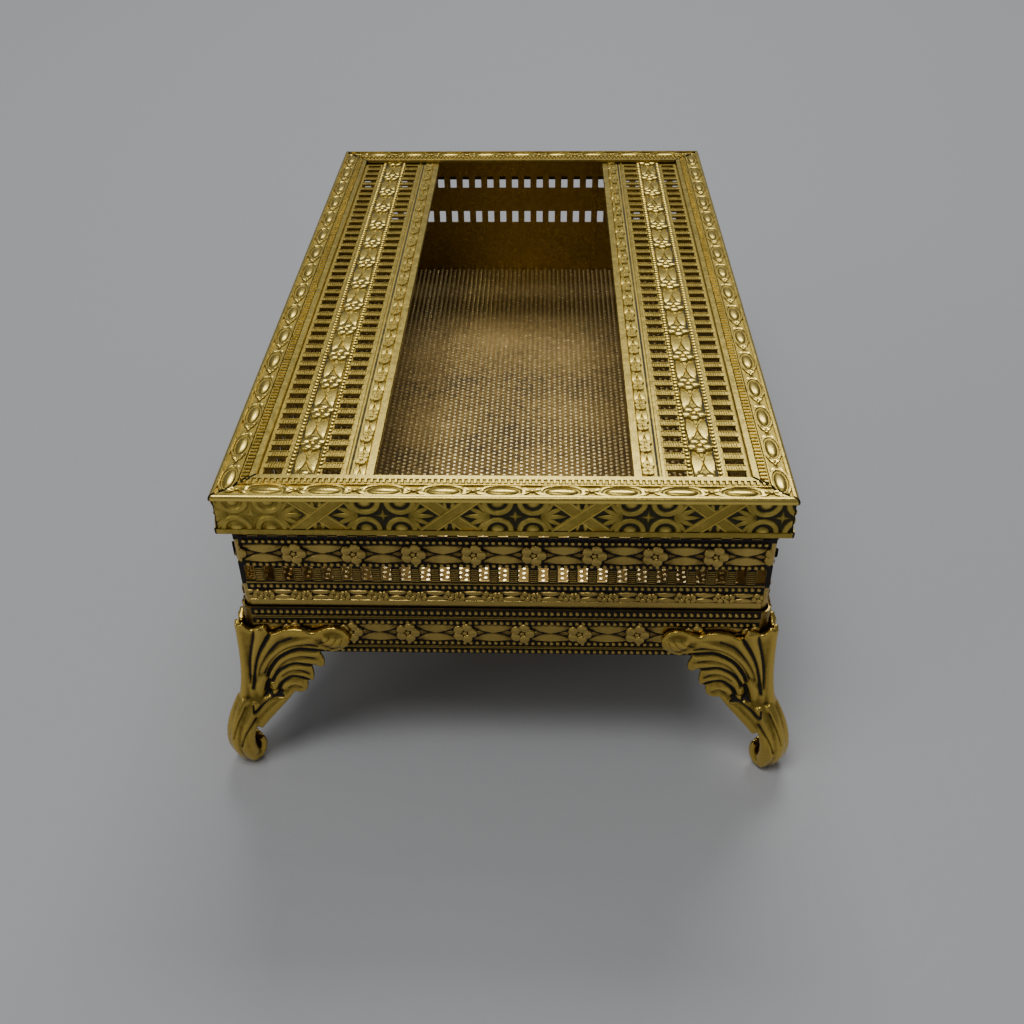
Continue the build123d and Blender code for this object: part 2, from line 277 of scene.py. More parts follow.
def polished(piece, low, high, floor=None, top=None):
    """Writes the polish of each vertex, from low at the foot of the piece to high at its top."""
    mesh = piece.data
    places = numpy.empty(len(mesh.vertices) * 3)
    mesh.vertices.foreach_get("co", places)
    heights = places[2::3]
    floor = heights.min() if floor is None else floor
    top = heights.max() if top is None else top
    share = numpy.clip((heights - floor) / max(top - floor, 1e-9), 0, 1)
    write_polish(piece, low + (high - low) * share)
    return piece


def write_polish(piece, values):
    """Stores one polish value for each vertex."""
    mesh = piece.data
    if POLISH_AND_PAINTED_LIGHT in mesh.attributes:
        mesh.attributes.remove(mesh.attributes[POLISH_AND_PAINTED_LIGHT])
    layer = mesh.attributes.new(POLISH_AND_PAINTED_LIGHT, "FLOAT", "POINT")
    layer.data.foreach_set("value", numpy.asarray(values, numpy.float32))


def smooth(piece, angle=40):
    """Smooth shading that keeps edges sharper than the angle."""
    only(piece)
    bpy.ops.object.shade_smooth_by_angle(angle=math.radians(angle))
    return piece


def outwards(piece):
    """Turns all faces outwards."""
    with editing(piece):
        bpy.ops.mesh.normals_make_consistent(inside=False)
    return piece


# ---------------------------------------------------------------- motifs, in millimetres


def dome(width, depth, height, segments=8, rings=6, low=0.1, high=1.0):
    """A low rounded boss that stands on the strip."""
    bpy.ops.mesh.primitive_uv_sphere_add(segments=segments, ring_count=rings, radius=0.5)
    piece = bpy.context.object
    cut(piece, (0, 0, 0), (0, 0, -1))
    at(piece, scale=(width, depth, 2 * height))
    return polished(piece, low, high)


def bar(width, depth, height, taper=0.6, low=0.15, high=0.85):
    """A straight ridge with sloping sides."""
    bpy.ops.mesh.primitive_cube_add(size=1, location=(0, 0, 0.5))
    piece = settle(bpy.context.object)
    at(piece, scale=(width, depth, height))
    slope = (1 - taper) * min(width, depth)
    with editing(piece):
        pick(piece, lambda middle, normal: normal.z > 0.5)
        bpy.ops.transform.resize(
            value=((width - slope) / width, (depth - slope) / depth, 1), center_override=(0, 0, height)
        )
    return polished(piece, low, high)


def leaf(size, width, height, bend=0.0, low=0.1, high=1.0):
    """A pointed leaf with a groove along its middle, laid along X. Its tips bend towards +Y."""
    bpy.ops.mesh.primitive_uv_sphere_add(
        segments=8, ring_count=6, radius=0.5, rotation=(0, math.radians(90), 0)
    )
    piece = settle(bpy.context.object)
    with editing(piece):
        shape = bmesh.from_edit_mesh(piece.data)
        for vertex in shape.verts:
            reach = abs(vertex.co.x) * 2
            vertex.co.y *= 1 - 0.45 * reach
            if abs(vertex.co.y) < 0.01 and vertex.co.z > 0.3:
                vertex.co.z *= 0.72
        bmesh.update_edit_mesh(piece.data)
    cut(piece, (0, 0, 0), (0, 0, -1))
    at(piece, scale=(size, width, 2 * height))
    if bend:
        with editing(piece):
            shape = bmesh.from_edit_mesh(piece.data)
            for vertex in shape.verts:
                vertex.co.y += bend * (2 * vertex.co.x / size) ** 2
            bmesh.update_edit_mesh(piece.data)
    return polished(piece, low, high)


def flower(size, petals, height, low=0.1):
    """A flat blossom with a bead in its middle."""
    petal_length = 0.42 * size
    petal_width = 2.3 * size / petals
    petal = dome(petal_length, petal_width, 1.7 * height, segments=8, rings=6)
    cut(petal, (0, 0, height), (0, 0, 1))
    polished(petal, low, 0.85)
    at(petal, place=(0.5 * size - 0.5 * petal_length, 0, 0))
    with editing(petal):
        step = 2 * math.pi / petals
        bpy.ops.mesh.spin(
            steps=petals - 1, dupli=True, angle=step * (petals - 1), center=(0, 0, 0), axis=(0, 0, 1)
        )
    centre = dome(0.25 * size, 0.25 * size, 1.15 * height, segments=6, rings=4, low=low)
    return joined([petal, centre])


def half_ring(radius, thickness, height, segments=10, low=0.1, high=1.0):
    """Half of a round moulding, open towards -Y."""
    bpy.ops.mesh.primitive_torus_add(
        major_radius=radius, minor_radius=thickness / 2, major_segments=2 * segments, minor_segments=6
    )
    piece = bpy.context.object
    at(piece, scale=(1, 1, 2 * height / thickness))
    cut(piece, (0, 0, 0), (0, 0, -1))
    cut(piece, (0, 0, 0), (0, -1, 0))
    return polished(piece, low, high)


def ring(width, depth, thickness, height, low=0.1, high=0.9):
    """A thin raised oval line."""
    bpy.ops.mesh.primitive_torus_add(
        major_radius=0.5, minor_radius=thickness / 2, major_segments=20, minor_segments=6
    )
    piece = bpy.context.object
    at(piece, scale=(width, depth, 2 * height / thickness))
    cut(piece, (0, 0, 0), (0, 0, -1))
    return polished(piece, low, high)


def star(size, height, low=0.1, high=1.0):
    """A four-pointed star that rises to its middle."""
    bpy.ops.mesh.primitive_cone_add(vertices=8, radius1=0.5, radius2=0, depth=1, location=(0, 0, 0.5))
    piece = settle(bpy.context.object)
    with editing(piece):
        shape = bmesh.from_edit_mesh(piece.data)
        rim = sorted(
            (vertex for vertex in shape.verts if vertex.co.z < 0.5),
            key=lambda vertex: math.atan2(vertex.co.y, vertex.co.x),
        )
        for number, vertex in enumerate(rim):
            if number % 2 == 0:
                vertex.co.x *= 0.36
                vertex.co.y *= 0.36
        bmesh.update_edit_mesh(piece.data)
    at(piece, scale=(size, size, height))
    return polished(piece, low, high)


# ---------------------------------------------------------------- strips, in millimetres


def row(unit, pitch, along, height, offset=0.0):
    """Repeats a motif along a strip at one height, cut off at the strip's ends."""
    half = along / 2
    count = int(along / pitch) + 3
    start = -(count - 1) * pitch / 2 + offset * pitch
    line = arrayed(copied(unit, place=(start, height, 0)), count, (pitch, 0, 0))
    cut(line, (half, 0, 0), (1, 0, 0))
    return cut(line, (-half, 0, 0), (-1, 0, 0))


def whole_row(unit, pitch, along, height):
    """Repeats a small motif as often as it fits, so that none is cut."""
    count = int((along - 0.2) / pitch)
    start = -(count - 1) * pitch / 2
    return arrayed(copied(unit, place=(start, height, 0)), count, (pitch, 0, 0))


def counted_row(unit, pitch, count, height):
    """Repeats a motif a given number of times about the middle of the strip."""
    return arrayed(copied(unit, place=(-(count - 1) * pitch / 2, height, 0)), count, (pitch, 0, 0))


def flat_sheet(x0, x1, y0, y1):
    """A plain stretch of sheet, without thickness."""
    bpy.ops.mesh.primitive_plane_add(size=1)
    middle = ((x0 + x1) / 2, (y0 + y1) / 2, 0)
    return at(bpy.context.object, place=middle, scale=(x1 - x0, y1 - y0, 1))


def pierced_sheet(along, bottom, top, rows, slots, field, sizes):
    """The stamped sheet with its rows of slots. Its face is at 0 and its back below."""
    pitch, width, tall = (value / MM for value in (sizes.slot_pitch, sizes.slot_width, sizes.slot_length))
    border = (pitch - width) / 2
    half = along / 2
    pieces = []
    edge = bottom
    for middle in rows:
        low = middle - tall / 2 - border
        high = middle + tall / 2 + border
        reach = slots * pitch / 2
        pieces.append(flat_sheet(-half, half, edge, low))
        cell = flat_sheet(-pitch / 2, pitch / 2, -tall / 2 - border, tall / 2 + border)
        with editing(cell):
            bpy.ops.mesh.inset(thickness=border, depth=0)
            bpy.ops.mesh.delete(type="FACE")
        pieces.append(counted_row(cell, pitch, slots, middle))
        removed(cell)
        if half > reach:
            pieces.append(flat_sheet(-half, -reach, low, high))
            pieces.append(flat_sheet(reach, half, low, high))
        edge = high
    pieces.append(flat_sheet(-half, half, edge, top))
    sheet = joined(pieces)
    with editing(sheet):
        bpy.ops.mesh.remove_doubles(threshold=0.002)
    applied(sheet, "SOLIDIFY", thickness=sizes.sheet / MM, offset=-1, use_even_offset=False)
    return polished(sheet, INSIDE_POLISH, field)


def gallery_motifs(sizes, foot):
    """The small motifs that the gallery strips share. Foot is the polish where they meet the sheet."""
    bead = sizes.bead_size / MM
    relief = sizes.relief / MM
    motifs = {"bead": dome(bead, bead, 0.9 * relief, segments=8, rings=4, low=foot)}
    # The wide vine: a flower, and a pair of leaves that meet the next one
    blossom = flower(4.0, 5, relief, low=foot)
    half = sizes.big_flower_pitch / MM / 2
    blade = leaf(6.1, 2.0, 0.8 * relief, bend=0.5, low=foot, high=0.86)
    small = leaf(1.9, 0.8, 0.5 * relief, low=foot, high=0.55)
    pieces = [blossom]
    for side in (1, -1):
        pieces.append(copied(blade, place=(half, side * 0.84, 0), turn=(0, 0, 90 - side * 90)))
        pieces.append(copied(small, place=(side * 2.1, 0, 0)))
    motifs["wide vine"] = joined(pieces)
    removed(blade, small)
    # The narrow vine: two little blossoms and long thin leaves
    half = sizes.small_flower_pitch / MM / 2
    blade = leaf(3.8, 1.05, 0.75 * relief, bend=0.26, low=foot, high=0.85)
    blossom = flower(1.95, 4, 0.85 * relief, low=foot)
    pieces = [
        copied(blossom, place=(-0.74, 0.06, 0), turn=(0, 0, 20)),
        copied(blossom, place=(0.74, -0.06, 0), turn=(0, 0, 50)),
        copied(blade, place=(half, 0.46, 0)),
        copied(blade, place=(half, -0.46, 0), turn=(0, 0, 180)),
    ]
    motifs["narrow vine"] = joined(pieces)
    removed(blade, blossom)
    # A pillar between two slots: fine ridges between two thin edges
    pillar = (sizes.slot_pitch - sizes.slot_width) / MM
    tall = sizes.slot_length / MM
    ridge = bar(pillar - 0.3, 0.22, 0.16, taper=0.4, low=foot, high=0.66 + foot)
    at(ridge, place=(0, -tall / 2 + 0.1, 0))
    arrayed(ridge, 7, (0, tall / 7.5, 0))
    edge = bar(0.12, tall + 0.3, 0.13, low=foot, high=0.6)
    left = copied(edge, place=(-pillar / 2 + 0.08, 0, 0))
    right = copied(edge, place=(pillar / 2 - 0.08, 0, 0))
    motifs["pillar"] = joined([ridge, left, right])
    removed(edge)
    return motifs


def gallery_strip(motifs, along, bottom, top, plain, slots, sizes, lid):
    """A pierced and embossed strip, with its plain edge at the height plain."""
    first = plain + (sizes.first_row + sizes.slot_length / 2) / MM
    second = plain + (sizes.second_row + sizes.slot_length / 2) / MM
    pitch = sizes.slot_pitch / MM
    bead_pitch = sizes.bead_pitch / MM
    relief = sizes.relief / MM
    # Painted light: the walls' field is dark as shade on the upright faces, and the lid's field is bright as
    # light on its top
    field = LIT_LID_FIELD if lid else SHADED_WALL_FIELD
    pieces = [pierced_sheet(along, bottom, top, (first, second), slots, field, sizes)]
    edge = bar(along, PLAIN_EDGE, 0.45 * relief, taper=0.8, low=0.7, high=0.86)
    pieces.append(at(edge, place=(0, plain + PLAIN_EDGE / 2, 0)))
    narrow_pitch, wide_pitch = sizes.small_flower_pitch / MM, sizes.big_flower_pitch / MM
    pieces.append(row(motifs["narrow vine"], narrow_pitch, along, plain + NARROW_VINE, offset=0.2))
    for middle in (first, second):
        pieces.append(counted_row(motifs["pillar"], pitch, slots - 1, middle))
    pieces.append(row(motifs["wide vine"], wide_pitch, along, plain + WIDE_VINE, offset=0.5))
    bead_rows = VINE_BEADS
    if lid:
        for place, width, height, high in LID_LINES:
            line = bar(along, width, height * relief, taper=0.7, low=0.5, high=high)
            pieces.append(at(line, place=(0, plain + place, 0)))
        for place in LID_GROOVES:
            groove = bar(along, 0.34, 0.02, low=0.18, high=0.18)
            pieces.append(at(groove, place=(0, plain + place, 0)))
    else:
        bead_rows = (*VINE_BEADS, WALL_BEADS)
        line = bar(along, 0.22, 0.4 * relief, low=0.3, high=0.8)
        pieces.append(at(line, place=(0, plain + WALL_LINE, 0)))
    for place in bead_rows:
        pieces.append(whole_row(motifs["bead"], bead_pitch, along, plain + place))
    return joined(pieces)


def corner_sheet(radius, thickness, bottom, top, face_polish):
    """A quarter of a bent corner, about an axis at the origin, towards +X and +Y."""
    bpy.ops.mesh.primitive_cylinder_add(
        vertices=48, radius=radius, depth=top - bottom, end_fill_type="NOTHING",
        location=(0, 0, (top + bottom) / 2),
    )
    piece = settle(bpy.context.object)
    with editing(piece):
        bpy.ops.mesh.bisect(plane_co=(0, 0, 0), plane_no=(1, 0, 0), clear_inner=True)
        bpy.ops.mesh.select_all(action="SELECT")
        bpy.ops.mesh.bisect(plane_co=(0, 0, 0), plane_no=(0, 1, 0), clear_inner=True)
    applied(piece, "SOLIDIFY", thickness=thickness, offset=-1)
    count = len(piece.data.vertices)
    places = numpy.empty(count * 3)
    piece.data.vertices.foreach_get("co", places)
    outside = numpy.hypot(places[0::3], places[1::3]) > radius - thickness / 2
    write_polish(piece, numpy.where(outside, face_polish, INSIDE_POLISH))
    return piece


def four_corners(radius, thickness, bottom, top, face_polish, x, y):
    """The four bent corners of a strip, about upright axes x and y from the middle, in metres."""
    pieces = []
    for turns, (right, back) in enumerate(((1, 1), (-1, 1), (-1, -1), (1, -1))):
        corner = corner_sheet(radius, thickness, bottom, top, face_polish)
        place = (right * x * MM, back * y * MM, 0)
        pieces.append(at(corner, place=place, turn=(0, 0, 90 * turns), scale=(MM, MM, MM)))
    return pieces


def stand_up(strip, quarter_turns, out):
    """Stands a flat strip on a side of the box, in metres. Side 0 is the front, 1 the right."""
    angle = quarter_turns * 90
    direction = Matrix.Rotation(math.radians(angle), 3, "Z") @ Vector((0, -out * MM, 0))
    return at(strip, place=direction, turn=(90, 0, angle), scale=(MM, MM, MM))


def lay_down(strip, turn, place):
    """Lays a flat strip level, in metres."""
    return at(strip, place=place, turn=(0, 0, turn), scale=(MM, MM, MM))


def handed_over(piece, name, material, body, nodes=()):
    """Names a finished piece, gives it its finish, and ties it to the frame."""
    piece.name = name
    piece.data.name = name
    piece.data.materials.clear()
    piece.data.materials.append(material)
    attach(piece, body)
    if nodes:
        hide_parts(*nodes)
    return piece


# ---------------------------------------------------------------- finishes


def new_group(name, inputs, outputs):
    """An empty shader node group with these sockets, and its two end nodes."""
    group = bpy.data.node_groups.new(name, "ShaderNodeTree")
    for socket, kind, value in inputs:
        item = group.interface.new_socket(name=socket, in_out="INPUT", socket_type=kind)
        item.default_value = value
    for socket, kind in outputs:
        group.interface.new_socket(name=socket, in_out="OUTPUT", socket_type=kind)
    return group, group.nodes.new("NodeGroupInput"), group.nodes.new("NodeGroupOutput")


def math_node(tree, operation, first, second=None, clamp=False):
    """One Math node. Each operand is a socket or a number."""
    node = tree.nodes.new("ShaderNodeMath")
    node.operation = operation
    node.use_clamp = clamp
    for number, operand in enumerate((first, second)):
        if operand is None:
            continue
        if isinstance(operand, (int, float)):
            node.inputs[number].default_value = operand
        else:
            tree.links.new(operand, node.inputs[number])
    return node.outputs[0]


def ramp_node(tree, value, low, high, start=0.0, end=1.0):
    """A smooth step from start to end as the value goes from low to high."""
    node = tree.nodes.new("ShaderNodeMapRange")
    node.interpolation_type = "SMOOTHSTEP"
    tree.links.new(value, node.inputs["Value"])
    for socket, number in (("From Min", low), ("From Max", high), ("To Min", start), ("To Max", end)):
        node.inputs[socket].default_value = number
    return node.outputs["Result"]


def mix_node(tree, share, first, second):
    """A colour mix. The share is a socket."""
    node = tree.nodes.new("ShaderNodeMix")
    node.data_type = "RGBA"
    tree.links.new(share, node.inputs[0])
    for number, operand in ((6, first), (7, second)):
        tree.links.new(operand, node.inputs[number])
    return node.outputs[2]


def noise_node(tree, coordinates, scale, detail=3.0, roughness=0.55):
    """A noise value on these coordinates."""
    node = tree.nodes.new("ShaderNodeTexNoise")
    node.inputs["Scale"].default_value = scale
    node.inputs["Detail"].default_value = detail
    node.inputs["Roughness"].default_value = roughness
    tree.links.new(coordinates, node.inputs["Vector"])
    return node.outputs["Fac"]


def aged_metal_group():
    """Gold on the rubbed high spots, tarnish below, dark patina in the recesses; the polish also holds
    painted shade and painted highlights, which these colours paint.
    """
    group, start, end = new_group(
        "Aged Metal",
        (
            ("Polish", "NodeSocketFloat", 0.5),
            ("Gold", "NodeSocketColor", (0.8, 0.6, 0.25, 1)),
            ("Tarnish", "NodeSocketColor", (0.3, 0.2, 0.1, 1)),
            ("Recess", "NodeSocketColor", (0.02, 0.01, 0.01, 1)),
            ("Patches", "NodeSocketFloat", 0.4),
        ),
        (
            ("Colour", "NodeSocketColor"),
            ("Roughness", "NodeSocketFloat"),
            ("Metallic", "NodeSocketFloat"),
            ("Height", "NodeSocketFloat"),
        ),
    )
    place = group.nodes.new("ShaderNodeTexCoord").outputs["Object"]
    broad = noise_node(group, place, 55.0, 4.0)
    speckle = noise_node(group, place, 900.0, 4.0, 0.65)
    grain = noise_node(group, place, 4200.0, 2.0, 0.5)
    wander = math_node(group, "MULTIPLY", math_node(group, "SUBTRACT", broad, 0.5), start.outputs["Patches"])
    spots = math_node(group, "MULTIPLY", math_node(group, "SUBTRACT", speckle, 0.5), 0.5)
    value = math_node(group, "ADD", math_node(group, "ADD", start.outputs["Polish"], wander), spots)
    clean = ramp_node(group, value, 0.14, 0.42)
    bright = ramp_node(group, value, 0.40, 0.88)
    below = mix_node(group, clean, start.outputs["Recess"], start.outputs["Tarnish"])
    group.links.new(mix_node(group, bright, below, start.outputs["Gold"]), end.inputs["Colour"])
    dull = ramp_node(group, value, 0.15, 0.85, 0.62, 0.24)
    uneven = math_node(group, "MULTIPLY", math_node(group, "SUBTRACT", speckle, 0.5), 0.28)
    group.links.new(math_node(group, "ADD", dull, uneven, clamp=True), end.inputs["Roughness"])
    group.links.new(ramp_node(group, value, 0.08, 0.36, 0.25, 1.0), end.inputs["Metallic"])
    pits = math_node(group, "MULTIPLY", speckle, 0.6)
    fine = math_node(group, "MULTIPLY", grain, 0.4)
    group.links.new(math_node(group, "ADD", pits, fine), end.inputs["Height"])
    return group


def rail_rims_group():
    """Polish of the plain rails: rims and rounded edges high, the sunk fields low, and the upright skirts
    darker than the tops as painted shade.
    """
    group, start, end = new_group(
        "Rail Rims",
        (
            ("Half Width", "NodeSocketFloat", 0.04),
            ("Half Length", "NodeSocketFloat", 0.065),
            ("Top", "NodeSocketFloat", 0.051),
            ("Depth", "NodeSocketFloat", 0.00035),
        ),
        (("Polish", "NodeSocketFloat"),),
    )
    place = group.nodes.new("ShaderNodeTexCoord").outputs["Object"]
    split = group.nodes.new("ShaderNodeSeparateXYZ")
    group.links.new(place, split.inputs[0])
    x, y, z = split.outputs
    across = math_node(group, "SUBTRACT", start.outputs["Half Width"], math_node(group, "ABSOLUTE", x))
    along = math_node(group, "SUBTRACT", start.outputs["Half Length"], math_node(group, "ABSOLUTE", y))
    down = math_node(group, "SUBTRACT", start.outputs["Top"], z)
    depth = math_node(group, "MINIMUM", math_node(group, "MINIMUM", across, along), down)
    # Dirt along the mitre, where a point is as far from one edge as from the other
    askew = math_node(group, "ABSOLUTE", math_node(group, "SUBTRACT", across, along))
    mitre = ramp_node(group, askew, 0.00018, 0.00042)
    share = math_node(group, "DIVIDE", depth, start.outputs["Depth"])
    sunk = ramp_node(group, share, 0.45, 0.98)
    # The skirt's rim and field are darker than the top's: painted shade on the upright face
    top_rim, shaded_skirt_rim = 0.95, 0.50
    top_field, shaded_skirt_field = 0.52, 0.10
    skirt = ramp_node(group, down, 0.0005, 0.0009)
    rim = math_node(
        group, "SUBTRACT", top_rim, math_node(group, "MULTIPLY", skirt, top_rim - shaded_skirt_rim)
    )
    # The skirt's field is dark as painted shade, and turns lighter towards the left end
    lighter_left = ramp_node(group, x, LIGHTER_END, LIGHTER_START, LIGHTER_POLISH, shaded_skirt_field)
    skirt_shade = math_node(group, "MULTIPLY", skirt, math_node(group, "SUBTRACT", lighter_left, top_field))
    field = math_node(group, "ADD", top_field, skirt_shade)
    change = math_node(group, "MULTIPLY", sunk, math_node(group, "SUBTRACT", field, rim))
    polish = math_node(group, "MULTIPLY", mitre, math_node(group, "ADD", rim, change))
    group.links.new(polish, end.inputs["Polish"])
    return group


def new_material(name):
    """A material with its Principled shader and a Bump node, ready to link."""
    material = bpy.data.materials.new(name)
    material.use_nodes = True
    tree = material.node_tree
    shader = tree.nodes["Principled BSDF"]
    bump = tree.nodes.new("ShaderNodeBump")
    tree.links.new(bump.outputs["Normal"], shader.inputs["Normal"])
    return material, tree, shader, bump


def rail_polish(tree):
    """Polish of the rails, worked out from each point's place on them."""
    node = tree.nodes.new("ShaderNodeGroup")
    node.node_tree = rail_rims_group()
    node.inputs["Half Width"].default_value = SIDE_RAIL_HIGH.x
    node.inputs["Half Length"].default_value = -RAIL_LOW.y
    node.inputs["Top"].default_value = RAIL_HIGH.z
    node.inputs["Depth"].default_value = bpy.context.scene.vanity_box_sizes.rail_field_depth
    return node.outputs[0]


def rolled_polish(tree):
    """The even polish of rolled sheet and wire, without ornament."""
    place = tree.nodes.new("ShaderNodeTexCoord").outputs["Object"]
    return ramp_node(tree, noise_node(tree, place, 260.0, 3.0), 0.3, 0.7, 0.42, 0.62)


def attribute_polish(tree):
    """The polish stored with each vertex."""
    node = tree.nodes.new("ShaderNodeAttribute")
    node.attribute_name = POLISH_AND_PAINTED_LIGHT
    return node.outputs["Fac"]


# Each aged finish: its clean colour, its tarnish and recess, the depth of its grain, and its polish
AGED_FINISHES = {
    "lid gilding": ("gilt", "gilt", 0.000012, attribute_polish),
    "rail gilding": ("gilt", "gilt", 0.000012, rail_polish),
    "wall brass and painted shade": ("brass", "brass", 0.000012, attribute_polish),
    "mesh gilding and painted highlight": ("mesh", "mesh", 0.000006, attribute_polish),
    "cast gilding": ("cast", "cast", 0.00003, attribute_polish),
    "rolled brass": ("hinge", "brass", 0.000012, rolled_polish),
}


def finish(name):
    """One of the box's finishes, made when it is first asked for."""
    if name in bpy.data.materials:
        return bpy.data.materials[name]
    colours = bpy.context.scene.vanity_box_colours
    if name == "drawn steel":
        return drawn_steel(name, colours.pin)
    return aged_metal(name, colours, *AGED_FINISHES[name])


def aged_metal(name, colours, clean, aged, grain_depth, polish):
    """An aged metal finish, with the polish that the given function makes."""
    material, tree, shader, bump = new_material(name)
    metal = tree.nodes.new("ShaderNodeGroup")
    metal.node_tree = bpy.data.node_groups.get("Aged Metal") or aged_metal_group()
    for socket, tint in (("Gold", clean), ("Tarnish", aged + "_tarnish"), ("Recess", aged + "_recess")):
        metal.inputs[socket].default_value = (*getattr(colours, tint), 1)
    metal.inputs["Patches"].default_value = colours.patches
    tree.links.new(polish(tree), metal.inputs["Polish"])
    tree.links.new(metal.outputs["Colour"], shader.inputs["Base Color"])
    tree.links.new(metal.outputs["Roughness"], shader.inputs["Roughness"])
    tree.links.new(metal.outputs["Metallic"], shader.inputs["Metallic"])
    tree.links.new(metal.outputs["Height"], bump.inputs["Height"])
    bump.inputs["Distance"].default_value = grain_depth
    bump.inputs["Strength"].default_value = 1.0
    return material


def drawn_steel(name, tint):
    """Drawn wire: fine lines along the pin, which lies along Y."""
    material, tree, shader, bump = new_material(name)
    place = tree.nodes.new("ShaderNodeTexCoord").outputs["Object"]
    stretch = tree.nodes.new("ShaderNodeMapping")
    stretch.inputs["Scale"].default_value = (9000, 180, 9000)
    tree.links.new(place, stretch.inputs["Vector"])
    lines = noise_node(tree, stretch.outputs["Vector"], 1.0, 2.0)
    shader.inputs["Base Color"].default_value = (*tint, 1)
    shader.inputs["Metallic"].default_value = 1.0
    tree.links.new(ramp_node(tree, lines, 0.2, 0.8, 0.22, 0.45), shader.inputs["Roughness"])
    tree.links.new(lines, bump.inputs["Height"])
    bump.inputs["Distance"].default_value = 0.000004
    return material


# ---------------------------------------------------------------- operators


class AddWalls(bpy.types.Operator):
    """Adds the pierced and embossed walls, with their bent corners and the lap seam"""

    bl_idname = "vanity_box.add_walls"
    bl_label = "Walls"

    def execute(self, context):
        sizes = context.scene.vanity_box_sizes
        motifs = gallery_motifs(sizes, SHADED_WALL_FOOT)
        sheet = sizes.sheet / MM
        radius = sizes.corner_radius / MM
        bottom, top = WALL_LOW.z / MM, WALL_HIGH.z / MM
        plain = sizes.plain_edge_height / MM
        half_width, half_length = WALL_HIGH.x / MM, WALL_HIGH.y / MM
        thickness = sizes.wall_thickness / MM
        inner = radius - thickness
        pieces = []
        for turns, half, out, slots in (
            (0, half_width, half_length, sizes.front_slots),
            (1, half_length, half_width, sizes.side_slots),
            (2, half_width, half_length, sizes.back_slots),
            (3, half_length, half_width, sizes.side_slots),
        ):
            strip = gallery_strip(
                motifs, 2 * (half - radius), bottom, top, plain, slots, sizes, lid=False
            )
            pieces.append(stand_up(strip, turns, out - radius + inner + sheet))
        pieces += four_corners(
            inner + sheet, sheet, bottom, top, INSIDE_POLISH, half_width - radius, half_length - radius
        )
        # The lap seam runs up the inside of a pillar of the back wall, from the floor to the rim
        seam_pillar = 6
        floor_top = FLOOR_HIGH.z / MM
        seam = bar(1.2, top - floor_top, 0.3, taper=0.85, low=0.6, high=0.75)
        at(seam, place=(seam_pillar * sizes.slot_pitch / MM, (top + floor_top) / 2, 0))
        inside = (half_length - thickness) * MM
        pieces.append(at(seam, place=(0, inside, 0), turn=(90, 0, 0), scale=(MM, MM, MM)))
        walls = smooth(joined(pieces))
        handed_over(walls, "stamped_walls", finish("wall brass and painted shade"), "base", ("wall_band",))
        removed(*motifs.values())
        return {"FINISHED"}


class AddBaseBand(bpy.types.Operator):
    """Adds the embossed band round the foot of the walls"""

    bl_idname = "vanity_box.add_base_band"
    bl_label = "Base Band"

    # Lines of the pattern, in millimetres above the band's lower edge
    bead_lifts = (0.6, 2.3, 6.4, 8.35)
    line_lifts = (1.35, 1.62, 7.25, 7.55)
    vine_lift = 4.35

    def execute(self, context):
        sizes = context.scene.vanity_box_sizes
        motifs = gallery_motifs(sizes, SHADED_WALL_FOOT)
        low, high = BAND_LOW.z / MM, BAND_HIGH.z / MM
        inner_width, inner_length = WALL_HIGH.x / MM, WALL_HIGH.y / MM
        vine_pitch = sizes.big_flower_pitch / MM
        radius = sizes.corner_radius / MM
        thickness = 0.3
        pieces = []
        for turns, half, out in ((0, inner_width, inner_length), (1, inner_length, inner_width)):
            along = 2 * (half - radius)
            parts = [self.plain_strip(along, low, high, thickness)]
            for lift in self.bead_lifts:
                parts.append(whole_row(motifs["bead"], sizes.bead_pitch / MM, along, low + lift))
            for lift in self.line_lifts:
                line = bar(along, 0.18, 0.22, low=0.25, high=0.8)
                parts.append(at(line, place=(0, low + lift, 0)))
            parts.append(row(motifs["wide vine"], vine_pitch, along, low + self.vine_lift, offset=0.3))
            strip = joined(parts)
            twin = copied(strip)
            pieces.append(stand_up(strip, turns, out + thickness))
            pieces.append(stand_up(twin, turns + 2, out + thickness))
        pieces += four_corners(
            radius + thickness, thickness, low, high, 0.55, inner_width - radius, inner_length - radius
        )
        band = smooth(joined(pieces))
        handed_over(band, "stamped_band", finish("wall brass and painted shade"), "base", ("base_band",))
        removed(*motifs.values())
        return {"FINISHED"}

    @staticmethod
    def plain_strip(along, low, high, thickness):
        """The band's sheet, with its face at 0."""
        sheet = flat_sheet(-along / 2, along / 2, low, high)
        applied(sheet, "SOLIDIFY", thickness=thickness, offset=-1)
        return polished(sheet, 0.55, SHADED_WALL_FIELD)


